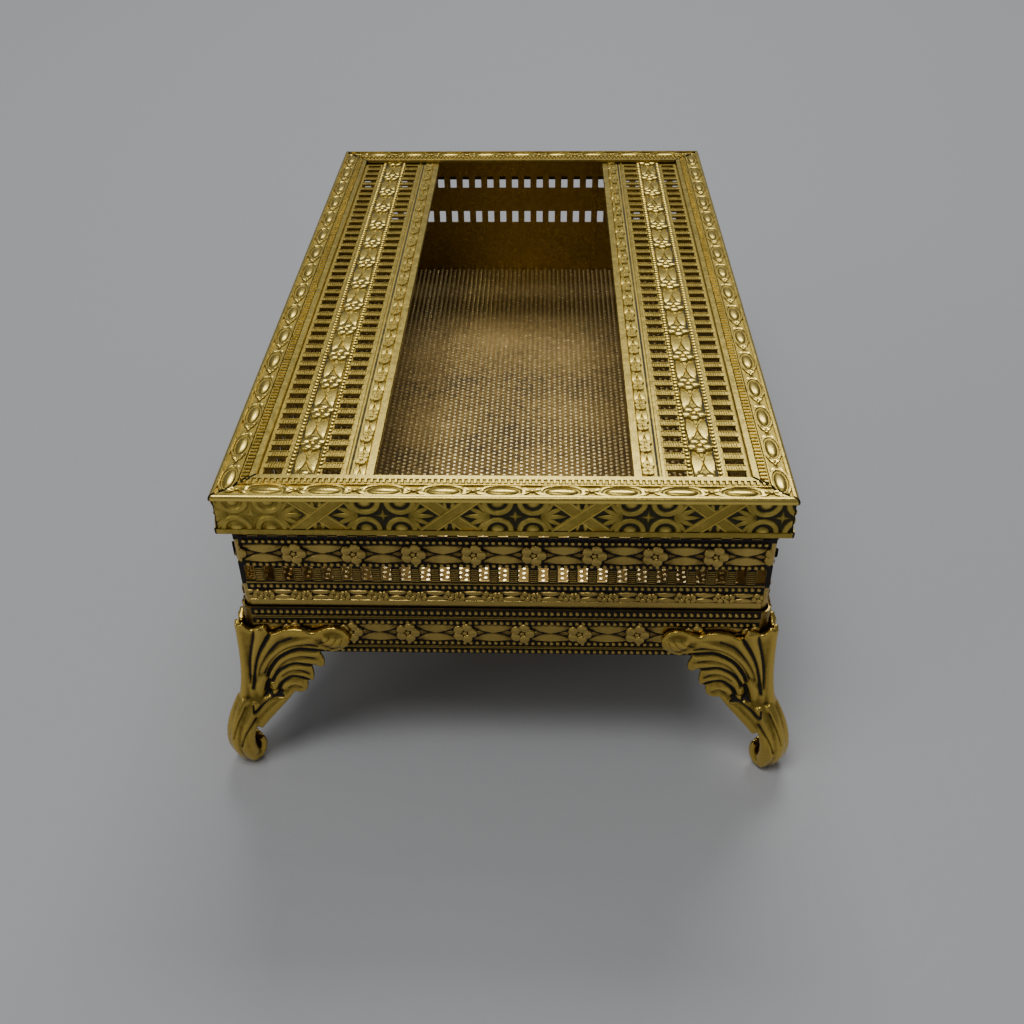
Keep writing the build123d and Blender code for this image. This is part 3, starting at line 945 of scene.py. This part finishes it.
class AddFloor(bpy.types.Operator):
    """Adds the floor, stamped with a mesh of small staggered beads, and its turned-down edge"""

    bl_idname = "vanity_box.add_floor"
    bl_label = "Floor Mesh"

    def execute(self, context):
        sizes = context.scene.vanity_box_sizes
        columns = sizes.mesh_column_pitch / MM
        beads = sizes.mesh_bead_pitch / MM
        half_width, half_length = FLOOR_HIGH.x / MM, FLOOR_HIGH.y / MM
        top, bottom = FLOOR_HIGH.z / MM, FLOOR_LOW.z / MM
        height, sunk = 0.12, 0.05
        thickness, edge = 0.34, 0.3
        sheet = flat_sheet(-half_width, half_width, -half_length, half_length)
        applied(sheet, "SOLIDIFY", thickness=thickness, offset=-1)
        polished(sheet, 0.45, 0.34)
        bpy.ops.mesh.primitive_cone_add(
            vertices=6, radius1=0.40 * columns, radius2=0.25 * columns, depth=height + sunk,
            location=(0, 0, (height - sunk) / 2),
        )
        bead = settle(bpy.context.object)
        with editing(bead):
            pick(bead, lambda middle, normal: normal.z < -0.5)
            bpy.ops.mesh.delete(type="FACE")
        # Painted highlight: the bead tops go past full polish, to the pale mesh colour
        polished(bead, 0.2, 1.8)
        twin = copied(bead, place=(columns, beads / 2, 0))
        pair = joined([bead, twin])
        pairs = int((2 * half_width - edge) / (2 * columns))
        rows = int((2 * half_length - edge) / beads)
        at(pair, place=(-(2 * pairs - 1) * columns / 2, -(rows - 0.5) * beads / 2, 0))
        arrayed(arrayed(pair, pairs, (2 * columns, 0, 0)), rows, (0, beads, 0))
        smooth(sheet)
        flanges = []
        drop = top - height - thickness - bottom
        for x, y, wide, deep in (
            (0, half_length - edge / 2, 2 * half_width, edge),
            (0, edge / 2 - half_length, 2 * half_width, edge),
            (half_width - edge / 2, 0, edge, 2 * half_length - 2 * edge),
            (edge / 2 - half_width, 0, edge, 2 * half_length - 2 * edge),
        ):
            flange = bar(wide, deep, drop, taper=1.0, low=0.45, high=0.45)
            flanges.append(at(flange, place=(x, y, -thickness - drop)))
        floor = joined([sheet, pair, *flanges])
        at(floor, place=(0, 0, (top - height) * MM), scale=(MM, MM, MM))
        handed_over(floor, "mesh_floor_sheet", finish("mesh gilding and painted highlight"), "base", ("floor_panel",))
        return {"FINISHED"}


class AddLidPanels(bpy.types.Operator):
    """Adds the two pierced panels beside the open slot of the lid"""

    bl_idname = "vanity_box.add_lid_panels"
    bl_label = "Lid Panels"

    def execute(self, context):
        sizes = context.scene.vanity_box_sizes
        motifs = gallery_motifs(sizes, LIT_LID_FOOT)
        along = (PANEL_HIGH.y - PANEL_LOW.y) / MM
        across = (PANEL_HIGH.x - PANEL_LOW.x) / MM
        height = PANEL_LOW.z + sizes.sheet
        strip = gallery_strip(motifs, along, 0, across, 0, sizes.panel_slots, sizes, lid=True)
        twin = copied(strip)
        right = lay_down(strip, -90, (PANEL_LOW.x, 0, height))
        left = lay_down(twin, 90, (-PANEL_LOW.x, 0, height))
        for piece, side in ((right, "right"), (left, "left")):
            handed_over(
                smooth(piece), f"stamped_panel_{side}", finish("lid gilding"), "lid",
                (f"lid_panel_{side}",),
            )
        removed(*motifs.values())
        return {"FINISHED"}


class AddRailOrnament(bpy.types.Operator):
    """Adds the embossed ovals, scrolls, fans and ribbons to the lid's rails"""

    bl_idname = "vanity_box.add_rail_ornament"
    bl_label = "Rail Ornament"

    def execute(self, context):
        sizes = context.scene.vanity_box_sizes
        half_width, half_length = SIDE_RAIL_HIGH.x / MM, -RAIL_LOW.y / MM
        top, bottom = RAIL_HIGH.z / MM, RAIL_LOW.z / MM
        depth = sizes.rail_field_depth / MM
        tops = self.top_motifs(depth)
        skirts = self.skirt_motifs(depth, top - bottom)
        for turns, side, half, out in (
            (0, "front", half_width, half_length),
            (1, "right", half_length, half_width),
            (2, "back", half_width, half_length),
            (3, "left", half_length, half_width),
        ):
            along = 2 * half
            flat = self.top_strip(tops, along, sizes.oval_pitch / MM)
            direction = Matrix.Rotation(math.radians(90 * turns), 3, "Z") @ Vector((0, -out * MM, 0))
            direction.z = (top - depth) * MM
            lay_down(flat, 90 * turns, direction)
            skirt = row(skirts, sizes.star_pitch / MM, along - 1.2, bottom, offset=0.1)
            stand_up(skirt, turns, out - depth)
            ornament = joined([flat, skirt])
            if side == "front":
                self.lightened_to_left(ornament)
            handed_over(
                smooth(ornament), f"rail_ornament_{side}", finish("lid gilding"), "lid"
            )
        removed(*tops.values(), skirts)
        return {"FINISHED"}

    @staticmethod
    def top_motifs(depth):
        """The motifs on top of a rail."""
        oval = dome(4.6, 1.7, 0.95 * depth, segments=18, rings=8, low=0.08, high=0.95)
        line = ring(6.0, 2.5, 0.17, 0.6 * depth, low=0.2)
        motifs = {"oval": joined([oval, line])}
        knot = [dome(0.6, 0.6, 0.9 * depth, segments=8, rings=4)]
        blade = leaf(1.9, 0.6, 0.9 * depth, low=0.2)
        for side in (1, -1):
            for end in (1, -1):
                place = (end * 0.95, side * 0.48, 0)
                knot.append(copied(blade, place=place, turn=(0, 0, end * side * 28)))
        removed(blade)
        motifs["knot"] = joined(knot)
        motifs["rib"] = bar(0.5, 1.15, 0.95 * depth, taper=0.6, low=0.0, high=1.0)
        return motifs

    @staticmethod
    def top_strip(motifs, along, pitch):
        """The ornament on top of a rail, mitred at both ends. Y is measured from the outer edge."""
        oval_line, rib_line = 2.0, 4.1
        rib_pitch = 0.84
        pieces = [
            row(motifs["oval"], pitch, along, oval_line, offset=0.5),
            row(motifs["knot"], pitch, along, oval_line),
            row(motifs["rib"], rib_pitch, along, rib_line),
        ]
        line = bar(along, 0.3, 0.28, taper=0.5, low=0.3, high=1.0)
        pieces.append(at(line, place=(0, 3.25, 0)))
        strip = joined(pieces)
        clear_of_mitre = 0.3
        half = along / 2 - clear_of_mitre
        for side in (1, -1):
            cut(strip, (side * half, 0, 0), (side, 1, 0))
        return strip

    @classmethod
    def skirt_motifs(cls, depth, tall):
        """One repeat of the skirt: a star among four fans, leaf sprays and crossing ribbons."""
        rim = 0.85
        low, high = rim, tall - rim
        middle = (low + high) / 2
        fan_place, ribbon_place = 2.42, 9.05
        height = 0.85 * depth
        pieces = [at(star(3.0, height, low=0.0, high=0.7), place=(0, middle, 0))]
        rings = [
            half_ring(1.82, 1.1, height, segments=12, low=0.0, high=0.54),
            dome(2.0, 2.0, height, segments=12, rings=6, low=0.0, high=0.72),
        ]
        cut(rings[1], (0, 0, 0), (0, -1, 0))
        fan = joined(rings)
        for end in (1, -1):
            pieces.append(copied(fan, place=(fan_place * end, low, 0)))
            pieces.append(copied(fan, place=(fan_place * end, high, 0), turn=(0, 0, 180)))
        blade = leaf(3.7, 0.95, height, low=0.0, high=0.54)
        for end in (1, -1):
            for angle in (-54, -27, 0, 27, 54):
                turn = math.radians(angle)
                spot = (end * (3.3 + 1.95 * math.cos(turn)), middle + 1.75 * math.sin(turn), 0)
                pieces.append(copied(blade, place=spot, turn=(0, 0, end * angle)))
        removed(fan, blade)
        sprig = leaf(2.0, 0.75, 0.7 * height, low=0.0, high=0.6)
        for spot in (low + 0.75, high - 0.75):
            for shift in (-0.55, 0.55):
                pieces.append(copied(sprig, place=(ribbon_place + shift, spot, 0), turn=(0, 0, 90)))
        removed(sprig)
        # Two bands cross between the stars, and one lies over the other
        for turn, lift in ((50, 0.55 * height), (-50, height)):
            pieces.append(at(cls.ribbon(lift), place=(ribbon_place, middle, 0), turn=(0, 0, turn)))
        unit = joined(pieces)
        cut(unit, (0, high, 0), (0, 1, 0))
        return cut(unit, (0, low, 0), (0, -1, 0))

    @staticmethod
    def ribbon(height):
        """A flat band with a fine ridge along each edge, in a dark outline."""
        reach = 9.4
        outline = bar(2.5, reach, 0.3 * height, taper=1.0, low=0.0, high=0.0)
        band = bar(2.1, reach, 0.75 * height, taper=0.85, low=0.0, high=0.48)
        edge = bar(0.24, reach, height, taper=0.5, low=0.2, high=0.75)
        right = copied(edge, place=(0.72, 0, 0))
        left = at(edge, place=(-0.72, 0, 0))
        return joined([outline, band, left, right])

    @staticmethod
    def lightened_to_left(piece):
        """Makes the front skirt's ornament lighter towards its left end."""
        mesh = piece.data
        places = numpy.empty(len(mesh.vertices) * 3)
        values = numpy.empty(len(mesh.vertices), numpy.float32)
        mesh.vertices.foreach_get("co", places)
        mesh.attributes[POLISH_AND_PAINTED_LIGHT].data.foreach_get("value", values)
        lighter_left = numpy.clip((LIGHTER_START - places[0::3]) / (LIGHTER_START - LIGHTER_END), 0, 1)
        write_polish(piece, numpy.maximum(values, LIGHTER_POLISH * lighter_left))


class AddFeet(bpy.types.Operator):
    """Adds the four cast feet: two leaf wings, a fluted leg and a rolled toe"""

    bl_idname = "vanity_box.add_feet"
    bl_label = "Feet"

    wing_flatness = 0.6         # depth of a swelling of the wing as a share of its width
    groove_width = 0.09         # half width of the finest groove
    groove_spread = 0.36        # growth of a groove's half width with its depth
    # The hollows that these two find and weigh are darkened as painted shade
    hollow_passes = 14          # how far round a point the metal is averaged to find the hollows
    hollow_shade_depth = 0.11         # depth of a hollow that takes 0.5 off the polish

    # Outline of the wing's plate: along the wall from the corner, and height
    outline = (
        (-0.5, 27.9), (0.5, 28.3), (0.9, 27.5), (1.6, 27.0), (2.6, 27.5), (3.7, 28.0), (3.95, 27.0),
        (4.2, 26.2), (5.0, 26.4), (6.4, 27.1), (8.0, 27.35), (9.4, 27.2), (10.6, 26.6), (11.6, 26.9),
        (12.9, 27.6), (14.2, 27.7), (15.4, 27.2), (16.1, 26.2), (16.2, 25.0), (15.8, 24.0), (14.7, 23.2),
        (13.1, 22.7), (11.3, 22.8), (11.6, 21.9), (11.95, 20.9), (11.85, 19.8), (10.9, 19.4), (9.8, 19.8),
        (10.0, 18.5), (10.0, 17.3), (9.6, 16.3), (8.75, 16.4), (8.8, 15.2), (8.4, 14.3), (7.4, 13.85),
        (6.4, 14.1), (5.9, 13.6), (5.1, 12.4), (3.9, 10.9), (1.8, 9.2), (0.4, 8.2), (-0.5, 8.0),
    )
    # Chiselled grooves on both wings: depth, then points along the wall and up
    grooves = (
        (0.14, (2.0, 27.0), (1.7, 25.4), (1.2, 23.6), (0.6, 20.8), (0.3, 18.4), (0.1, 16.4)),
        (0.28, (4.3, 26.3), (2.7, 23.6), (1.6, 20.8), (0.9, 17.9), (0.4, 15.4)),
        (0.10, (7.5, 25.7), (5.1, 24.4), (3.4, 22.2), (2.1, 19.7), (1.5, 17.8)),
        (0.18, (11.3, 23.9), (9.3, 24.3), (7.0, 23.9), (5.0, 22.4), (3.5, 20.4), (2.4, 18.0)),
        (0.40, (12.8, 22.8), (10.2, 23.2), (8.2, 23.3), (6.3, 22.5), (4.8, 21.2), (3.4, 18.9), (2.8, 17.4)),
        (0.12, (10.4, 21.5), (8.5, 21.9), (6.6, 21.2), (5.2, 19.9), (4.1, 18.3)),
        (0.36, (10.7, 19.5), (9.0, 20.1), (7.3, 20.3), (5.3, 19.2), (4.0, 17.6), (3.4, 16.4)),
        (0.12, (9.3, 18.0), (7.9, 18.9), (6.3, 18.6), (5.0, 17.4)),
        (0.34, (9.3, 16.5), (7.9, 17.4), (6.4, 17.4), (4.9, 16.1), (4.2, 14.8)),
        (0.12, (7.9, 15.1), (6.8, 15.7), (5.7, 15.0)),
        (0.34, (2.9, 16.7), (2.5, 15.3), (2.8, 14.0), (3.6, 13.7), (4.5, 14.3)),
        (0.28, (0.2, 12.6), (0.4, 11.4), (1.9, 12.7), (3.4, 13.5), (4.8, 13.5)),
        (0.10, (12.6, 24.0), (13.8, 25.0), (14.4, 26.2)),
        (0.10, (13.2, 23.4), (14.6, 24.4), (15.2, 25.7)),
        (0.10, (11.4, 24.5), (12.7, 25.2), (13.4, 26.2)),
        (0.14, (-1.0, 12.6), (-2.4, 9.8), (-3.4, 7.0)),
        (0.14, (0.4, 10.4), (-1.2, 8.2), (-2.2, 5.6)),
    )
    # Swellings of the wing as five guide points each: along the wall, height, distance out, radius
    swellings = (
        (
            (3.2, 27.2, 0.6, 0.9), (2.3, 24.3, 0.75, 0.9), (1.2, 20.8, 0.75, 0.75),
            (0.5, 17.5, 0.8, 0.6), (0.0, 15.0, 0.9, 0.5),
        ),
        (
            (5.6, 26.2, 0.6, 0.6), (4.0, 24.4, 0.75, 0.7), (2.6, 21.9, 0.75, 0.65),
            (1.7, 19.3, 0.75, 0.5), (1.1, 17.0, 0.8, 0.4),
        ),
        (
            (10.8, 25.3, 0.6, 0.8), (7.6, 24.9, 0.8, 0.85), (5.2, 23.5, 0.8, 0.8),
            (3.5, 21.2, 0.8, 0.65), (2.1, 18.2, 0.7, 0.4),
        ),
        (
            (4.9, 25.9, 0.5, 0.5), (7.6, 26.5, 0.7, 0.6), (9.6, 26.3, 0.7, 0.6),
            (11.2, 25.7, 0.6, 0.6), (12.6, 26.0, 0.6, 0.8),
        ),
        (
            (12.2, 25.0, 0.6, 0.9), (13.3, 25.2, 0.6, 1.6), (14.2, 25.2, 0.6, 1.9),
            (15.0, 25.2, 0.6, 1.6), (15.6, 25.1, 0.6, 0.8),
        ),
        (
            (11.6, 23.3, 0.6, 0.35), (9.6, 23.8, 0.75, 0.4), (7.2, 23.5, 0.75, 0.4),
            (5.2, 22.0, 0.75, 0.4), (3.2, 19.2, 0.7, 0.3),
        ),
        (
            (11.2, 21.9, 0.6, 0.6), (9.4, 22.5, 0.8, 0.6), (7.2, 22.2, 0.8, 0.55),
            (5.6, 21.1, 0.8, 0.5), (4.0, 19.0, 0.7, 0.3),
        ),
        (
            (11.1, 20.6, 0.6, 0.65), (9.6, 20.95, 0.75, 0.6), (7.5, 20.9, 0.75, 0.5),
            (5.8, 20.0, 0.75, 0.5), (4.2, 18.2, 0.7, 0.3),
        ),
        (
            (9.5, 18.9, 0.6, 0.45), (8.6, 19.5, 0.8, 0.5), (7.1, 19.4, 0.8, 0.5),
            (5.7, 18.6, 0.8, 0.45), (4.5, 17.2, 0.7, 0.3),
        ),
        (
            (9.4, 17.3, 0.6, 0.5), (8.7, 17.9, 0.75, 0.5), (7.2, 18.0, 0.75, 0.5),
            (5.8, 17.4, 0.75, 0.4), (4.7, 16.1, 0.7, 0.3),
        ),
        (
            (8.0, 15.2, 0.6, 0.7), (7.4, 16.2, 0.8, 0.7), (6.3, 16.2, 0.8, 0.6),
            (5.3, 15.3, 0.8, 0.5), (4.9, 14.4, 0.7, 0.4),
        ),
        (
            (7.3, 14.6, 0.6, 0.5), (6.8, 14.8, 0.7, 0.5), (6.2, 14.9, 0.7, 0.5),
            (5.7, 14.4, 0.7, 0.4), (5.2, 13.9, 0.7, 0.3),
        ),
        (
            (0.2, 17.0, 0.9, 0.6), (0.1, 15.8, 1.1, 0.8), (0.0, 14.6, 1.2, 0.9),
            (-0.1, 13.4, 1.4, 0.9), (-0.3, 12.2, 1.8, 0.9),
        ),
        (
            (1.9, 17.2, 0.7, 0.5), (1.6, 16.2, 1.0, 0.8), (1.3, 15.2, 1.15, 0.9),
            (1.0, 14.0, 1.2, 0.8), (0.7, 12.8, 1.3, 0.5),
        ),
        (
            (3.3, 16.0, 0.8, 0.5), (3.7, 15.8, 0.9, 0.6), (3.8, 15.2, 0.9, 0.6),
            (3.5, 14.8, 0.9, 0.6), (3.2, 15.0, 0.8, 0.5),
        ),
        (
            (6.2, 14.2, 0.7, 0.45), (5.0, 13.1, 1.0, 0.8), (3.4, 11.7, 1.5, 1.0),
            (1.6, 10.2, 2.2, 1.1), (0.2, 8.6, 3.0, 1.1),
        ),
        (
            (4.0, 14.0, 0.8, 0.5), (3.0, 13.2, 1.2, 0.8), (1.6, 12.0, 1.8, 1.0),
            (0.0, 10.4, 2.6, 1.1), (-1.2, 8.6, 3.4, 1.1),
        ),
        (
            (1.6, 14.2, 0.9, 0.5), (0.8, 13.2, 1.4, 0.8), (-0.4, 11.8, 2.1, 1.0),
            (-1.6, 10.2, 2.9, 1.1), (-2.4, 8.4, 3.7, 1.1),
        ),
    )
    # Corner ridge, leg and rolled toe: distance out on the diagonal, height, offset beside it, radius
    leg = (
        (
            (0.2, 27.4, 0.0, 0.75), (0.3, 23.2, 0.0, 0.75), (0.6, 19.2, 0.0, 0.75),
            (0.9, 16.4, 0.0, 0.8), (1.9, 13.2, 0.0, 0.9),
        ),
        (
            (1.8, 13.4, 0.5, 0.9), (3.6, 10.8, 0.5, 1.1), (5.3, 7.8, 0.5, 1.2),
            (5.5, 4.2, 0.5, 1.2), (3.2, 1.4, 0.5, 1.1),
        ),
        (
            (0.9, 12.8, 1.5, 0.8), (2.8, 10.2, 1.6, 1.0), (4.5, 7.6, 1.6, 1.1),
            (4.7, 4.4, 1.6, 1.1), (3.0, 1.6, 1.5, 1.0),
        ),
        (
            (1.4, 10.4, 2.0, 0.6), (2.7, 9.3, 2.2, 0.8), (3.8, 7.6, 2.25, 0.85),
            (3.8, 5.2, 2.2, 0.8), (3.0, 3.0, 2.0, 0.7),
        ),
        (
            (3.6, 1.5, 0.5, 0.85), (2.4, 1.0, 0.5, 0.8), (1.1, 1.7, 0.5, 0.75),
            (0.7, 3.7, 0.5, 0.7), (1.5, 4.9, 0.5, 0.6),
        ),
        (
            (3.4, 1.6, 1.5, 0.8), (2.3, 1.1, 1.5, 0.8), (1.2, 1.8, 1.5, 0.75),
            (0.8, 3.7, 1.5, 0.7), (1.5, 4.9, 1.5, 0.6),
        ),
    )

    def execute(self, context):
        sizes = context.scene.vanity_box_sizes
        pieces = [self.plate_piece()]
        for guides in self.swellings:
            wing = [(along, -out, height, radius) for along, height, out, radius in guides]
            pieces.append(self.swept(wing, self.wing_flatness))
        diagonal = math.sqrt(0.5)
        for guides in self.leg:
            turned = []
            for out, height, beside, radius in guides:
                turned.append(((beside - out) * diagonal, (-out - beside) * diagonal, height, radius))
            pieces.append(self.swept(turned, 1.0))
        foot = joined(pieces)
        # Turned so that the corner's diagonal is the mirror plane
        at(foot, turn=(0, 0, -45))
        applied(foot, "MIRROR", use_axis=(False, True, False), use_mirror_merge=False)
        outwards(foot)
        applied(foot, "REMESH", mode="VOXEL", voxel_size=sizes.foot_grain / MM)
        at(foot, turn=(0, 0, 45))
        applied(foot, "SMOOTH", factor=0.5, iterations=4)
        self.chiselled(foot)
        low = min(vertex.co.z for vertex in foot.data.vertices)
        at(foot, place=(0, 0, -low))
        corner = (-BAND_HIGH.x, -BAND_HIGH.y, 0)
        at(foot, place=corner, scale=(MM, MM, MM))
        only(foot)
        bpy.ops.object.shade_smooth()
        feet = {
            "front_left": foot,
            "front_right": copied(foot, scale=(-1, 1, 1)),
            "back_left": copied(foot, scale=(1, -1, 1)),
            "back_right": copied(foot, scale=(-1, -1, 1)),
        }
        for side, piece in feet.items():
            outwards(piece)
            handed_over(
                piece, f"cast_foot_{side}", finish("cast gilding"), "base", (f"foot_{side}",)
            )
        return {"FINISHED"}

    @classmethod
    def plate_piece(cls):
        """The wing's plate, one thickness of metal on the front wall."""
        bpy.ops.mesh.primitive_circle_add(vertices=len(cls.outline), fill_type="NGON")
        piece = bpy.context.object
        with editing(piece):
            shape = bmesh.from_edit_mesh(piece.data)
            for vertex, (along, height) in zip(shape.verts, cls.outline):
                vertex.co = (along, -0.05, height)
            bmesh.update_edit_mesh(piece.data)
            bpy.ops.mesh.extrude_region_move(TRANSFORM_OT_translate={"value": (0, -0.8, 0)})
        return outwards(piece)

    @staticmethod
    def swept(guides, flatness):
        """A round blade along five guide points, pressed flat towards the wall."""
        bpy.ops.curve.primitive_nurbs_path_add()
        path = bpy.context.object
        path.data.bevel_depth = 1.0
        path.data.bevel_resolution = 3
        path.data.use_fill_caps = True
        path.data.resolution_u = 8
        for point, (x, y, z, radius) in zip(path.data.splines[0].points, guides):
            point.co = (x, y / flatness, z, 1)
            point.radius = radius
        only(path)
        bpy.ops.object.convert(target="MESH")
        blade = bpy.context.object
        with editing(blade):
            bpy.ops.mesh.remove_doubles(threshold=0.0005)
        return at(blade, scale=(1, flatness, 1))

    @classmethod
    def chiselled(cls, piece):
        """Sinks the grooves into both wings, and writes the polish: low in the grooves, and low in the
        hollows as painted shade.
        """
        mesh = piece.data
        count = len(mesh.vertices)
        places = numpy.empty(count * 3)
        normals = numpy.empty(count * 3)
        edges = numpy.empty(len(mesh.edges) * 2, numpy.int64)
        mesh.vertices.foreach_get("co", places)
        mesh.vertices.foreach_get("normal", normals)
        mesh.edges.foreach_get("vertices", edges)
        places = places.reshape(-1, 3)
        normals = normals.reshape(-1, 3)
        edges = edges.reshape(-1, 2)
        # Both wings share one plane: along the wall, and up
        along = numpy.maximum(places[:, 0], places[:, 1])
        out = -numpy.minimum(places[:, 0], places[:, 1])
        flat = numpy.stack((along, places[:, 2]), 1)
        sunk = numpy.zeros(count)
        dark = numpy.zeros(count)
        for depth, *points in cls.grooves:
            line = cls.rounded_line(points)
            near = numpy.full(count, 1e9)
            for start, end in zip(line[:-1], line[1:]):
                run = end - start
                share = numpy.clip(((flat - start) @ run) / (run @ run), 0, 1)
                near = numpy.minimum(near, numpy.hypot(*(flat - start - share[:, None] * run).T))
            width = cls.groove_width + cls.groove_spread * depth
            mark = numpy.exp(-((near / width) ** 2))
            sunk = numpy.maximum(sunk, depth * mark)
            dark = numpy.maximum(dark, mark * min(1.0, 0.35 + 1.7 * depth))
        front = numpy.clip((out - 0.35) / 0.3, 0, 1)
        moved = places - normals * (sunk * front)[:, None]
        mesh.vertices.foreach_set("co", moved.reshape(-1))
        mesh.update()
        first = numpy.concatenate((edges[:, 0], edges[:, 1]))
        second = numpy.concatenate((edges[:, 1], edges[:, 0]))
        neighbours = numpy.maximum(numpy.bincount(first, minlength=count), 1)

        def spread(values):
            columns = []
            for column in values.T:
                columns.append(numpy.bincount(first, column[second], count) / neighbours)
            return numpy.stack(columns, 1)

        # Painted shade: the metal is averaged round each point, and the hollows this finds are darkened as
        # if shaded
        flattened = moved
        for _ in range(cls.hollow_passes):
            flattened = spread(flattened)
        hollow_shade = ((flattened - moved) * normals).sum(1)[:, None]
        for _ in range(2):
            hollow_shade = spread(hollow_shade)
        base = 0.66 - hollow_shade[:, 0] / cls.hollow_shade_depth * 0.5
        write_polish(piece, numpy.clip(base - 0.75 * dark * front, 0.0, 1.0))

    @staticmethod
    def rounded_line(points):
        """A smooth line through a groove's points."""
        points = numpy.array(points, float)
        ends = numpy.vstack((2 * points[0] - points[1], points, 2 * points[-1] - points[-2]))
        line = []
        for a, b, c, d in zip(ends[:-3], ends[1:-2], ends[2:-1], ends[3:]):
            for t in (0.0, 0.25, 0.5, 0.75):
                bend = (2 * a - 5 * b + 4 * c - d) * t**2 + (3 * b - a - 3 * c + d) * t**3
                line.append(0.5 * (2 * b + (c - a) * t + bend))
        line.append(points[-1])
        return line


class FinishCadNodes(bpy.types.Operator):
    """Gives the rails, the hinge and the rivets their aged metal"""

    bl_idname = "vanity_box.finish_cad_nodes"
    bl_label = "Rails, Hinge and Rivets"

    finishes = {
        "rail gilding": ("lid_rail_front", "lid_rail_right", "lid_rail_back", "lid_rail_left"),
        "rolled brass": (
            "hinge_leaf_body", "hinge_leaf_lid", "foot_rivets", "hinge_rivets_body", "hinge_rivets_lid",
        ),
        "drawn steel": ("hinge_pin",),
    }

    def execute(self, context):
        for name, nodes in self.finishes.items():
            for node in nodes:
                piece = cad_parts[node]
                piece.data.materials.clear()
                piece.data.materials.append(finish(name))
        return {"FINISHED"}


class AddStage(bpy.types.Operator):
    """Adds the plain floor, the soft lights and the camera"""

    bl_idname = "vanity_box.add_stage"
    bl_label = "Stage"

    camera_place = (0.005578, -0.184158, 0.141624)
    camera_yaw = -0.0355
    camera_pitch = 0.6617
    camera_roll = -0.0147
    camera_lens = 39.07

    def execute(self, context):
        scene = context.scene
        colours = scene.vanity_box_colours
        bpy.ops.mesh.primitive_plane_add(size=6)
        table = bpy.context.object
        table.name = "plain_floor"
        material, tree, shader, bump = new_material("pale floor")
        place = tree.nodes.new("ShaderNodeTexCoord").outputs["Object"]
        bump.inputs["Distance"].default_value = 0.0001
        tree.links.new(noise_node(tree, place, 300.0), bump.inputs["Height"])
        shader.inputs["Base Color"].default_value = (*colours.table, 1)
        shader.inputs["Roughness"].default_value = 0.6
        table.data.materials.append(material)

        world = bpy.data.worlds.new("soft room")
        world.use_nodes = True
        world.node_tree.nodes["Background"].inputs["Color"].default_value = (0.80, 0.83, 0.88, 1)
        world.node_tree.nodes["Background"].inputs["Strength"].default_value = 0.20
        scene.world = world

        for name, place, target, size, power in (
            ("window light", (0.12, 0.95, 1.12), (0, 0, 0.03), (0.8, 0.4), 7.5),
            ("ceiling light", (-0.25, -0.30, 1.15), (0, 0, 0), (0.5, 0.5), 4.5),
            ("left fill", (-0.9, -0.45, 0.5), (0, 0, 0.02), (0.5, 0.4), 0.9),
        ):
            bpy.ops.object.light_add(type="AREA", location=place)
            light = bpy.context.object
            light.name = name
            light.data.shape = "RECTANGLE"
            light.data.size, light.data.size_y = size
            light.data.energy = power
            aim = Vector(target) - Vector(place)
            light.rotation_euler = aim.to_track_quat("-Z", "Y").to_euler()

        bpy.ops.object.camera_add(location=self.camera_place)
        camera = bpy.context.object
        camera.name = "camera"
        yaw, pitch, roll = self.camera_yaw, self.camera_pitch, self.camera_roll
        ahead = Vector((math.sin(yaw) * math.cos(pitch), math.cos(yaw) * math.cos(pitch), -math.sin(pitch)))
        right = Vector((math.cos(yaw), -math.sin(yaw), 0))
        up = right.cross(ahead)
        turned_right = math.cos(roll) * right + math.sin(roll) * up
        turned_up = -math.sin(roll) * right + math.cos(roll) * up
        facing = Matrix((turned_right, turned_up, -ahead)).transposed()
        camera.rotation_euler = facing.to_euler()
        camera.data.lens = self.camera_lens
        camera.data.sensor_width = 36
        camera.data.clip_start = 0.005
        scene.camera = camera
        return {"FINISHED"}


class VanityBoxPanel(bpy.types.Panel):
    """Sidebar panel that lists the box's sizes, colours and pieces"""

    bl_idname = "VIEW3D_PT_vanity_box"
    bl_label = "Vanity Box"
    bl_space_type = "VIEW_3D"
    bl_region_type = "UI"
    bl_category = "Vanity Box"

    def draw(self, context):
        for group in (context.scene.vanity_box_sizes, context.scene.vanity_box_colours):
            for name in group.__annotations__:
                self.layout.prop(group, name)
        for step in STEPS:
            self.layout.operator(step.bl_idname)


STEPS = (AddWalls, AddBaseBand, AddFloor, AddLidPanels, AddRailOrnament, AddFeet, FinishCadNodes, AddStage)
CLASSES = (VanityBoxSizes, VanityBoxColours, *STEPS, VanityBoxPanel)


def register():
    for item in CLASSES:
        bpy.utils.register_class(item)
    bpy.types.Scene.vanity_box_sizes = bpy.props.PointerProperty(type=VanityBoxSizes)
    bpy.types.Scene.vanity_box_colours = bpy.props.PointerProperty(type=VanityBoxColours)


def unregister():
    del bpy.types.Scene.vanity_box_colours
    del bpy.types.Scene.vanity_box_sizes
    for item in reversed(CLASSES):
        bpy.utils.unregister_class(item)


def main():
    register()
    bpy.ops.object.select_all(action="DESELECT")
    bpy.ops.vanity_box.add_walls()
    bpy.ops.vanity_box.add_base_band()
    bpy.ops.vanity_box.add_floor()
    bpy.ops.vanity_box.add_lid_panels()
    bpy.ops.vanity_box.add_rail_ornament()
    bpy.ops.vanity_box.add_feet()
    bpy.ops.vanity_box.finish_cad_nodes()
    bpy.ops.vanity_box.add_stage()
    bpy.ops.object.select_all(action="DESELECT")


if __name__ == "__main__":
    main()
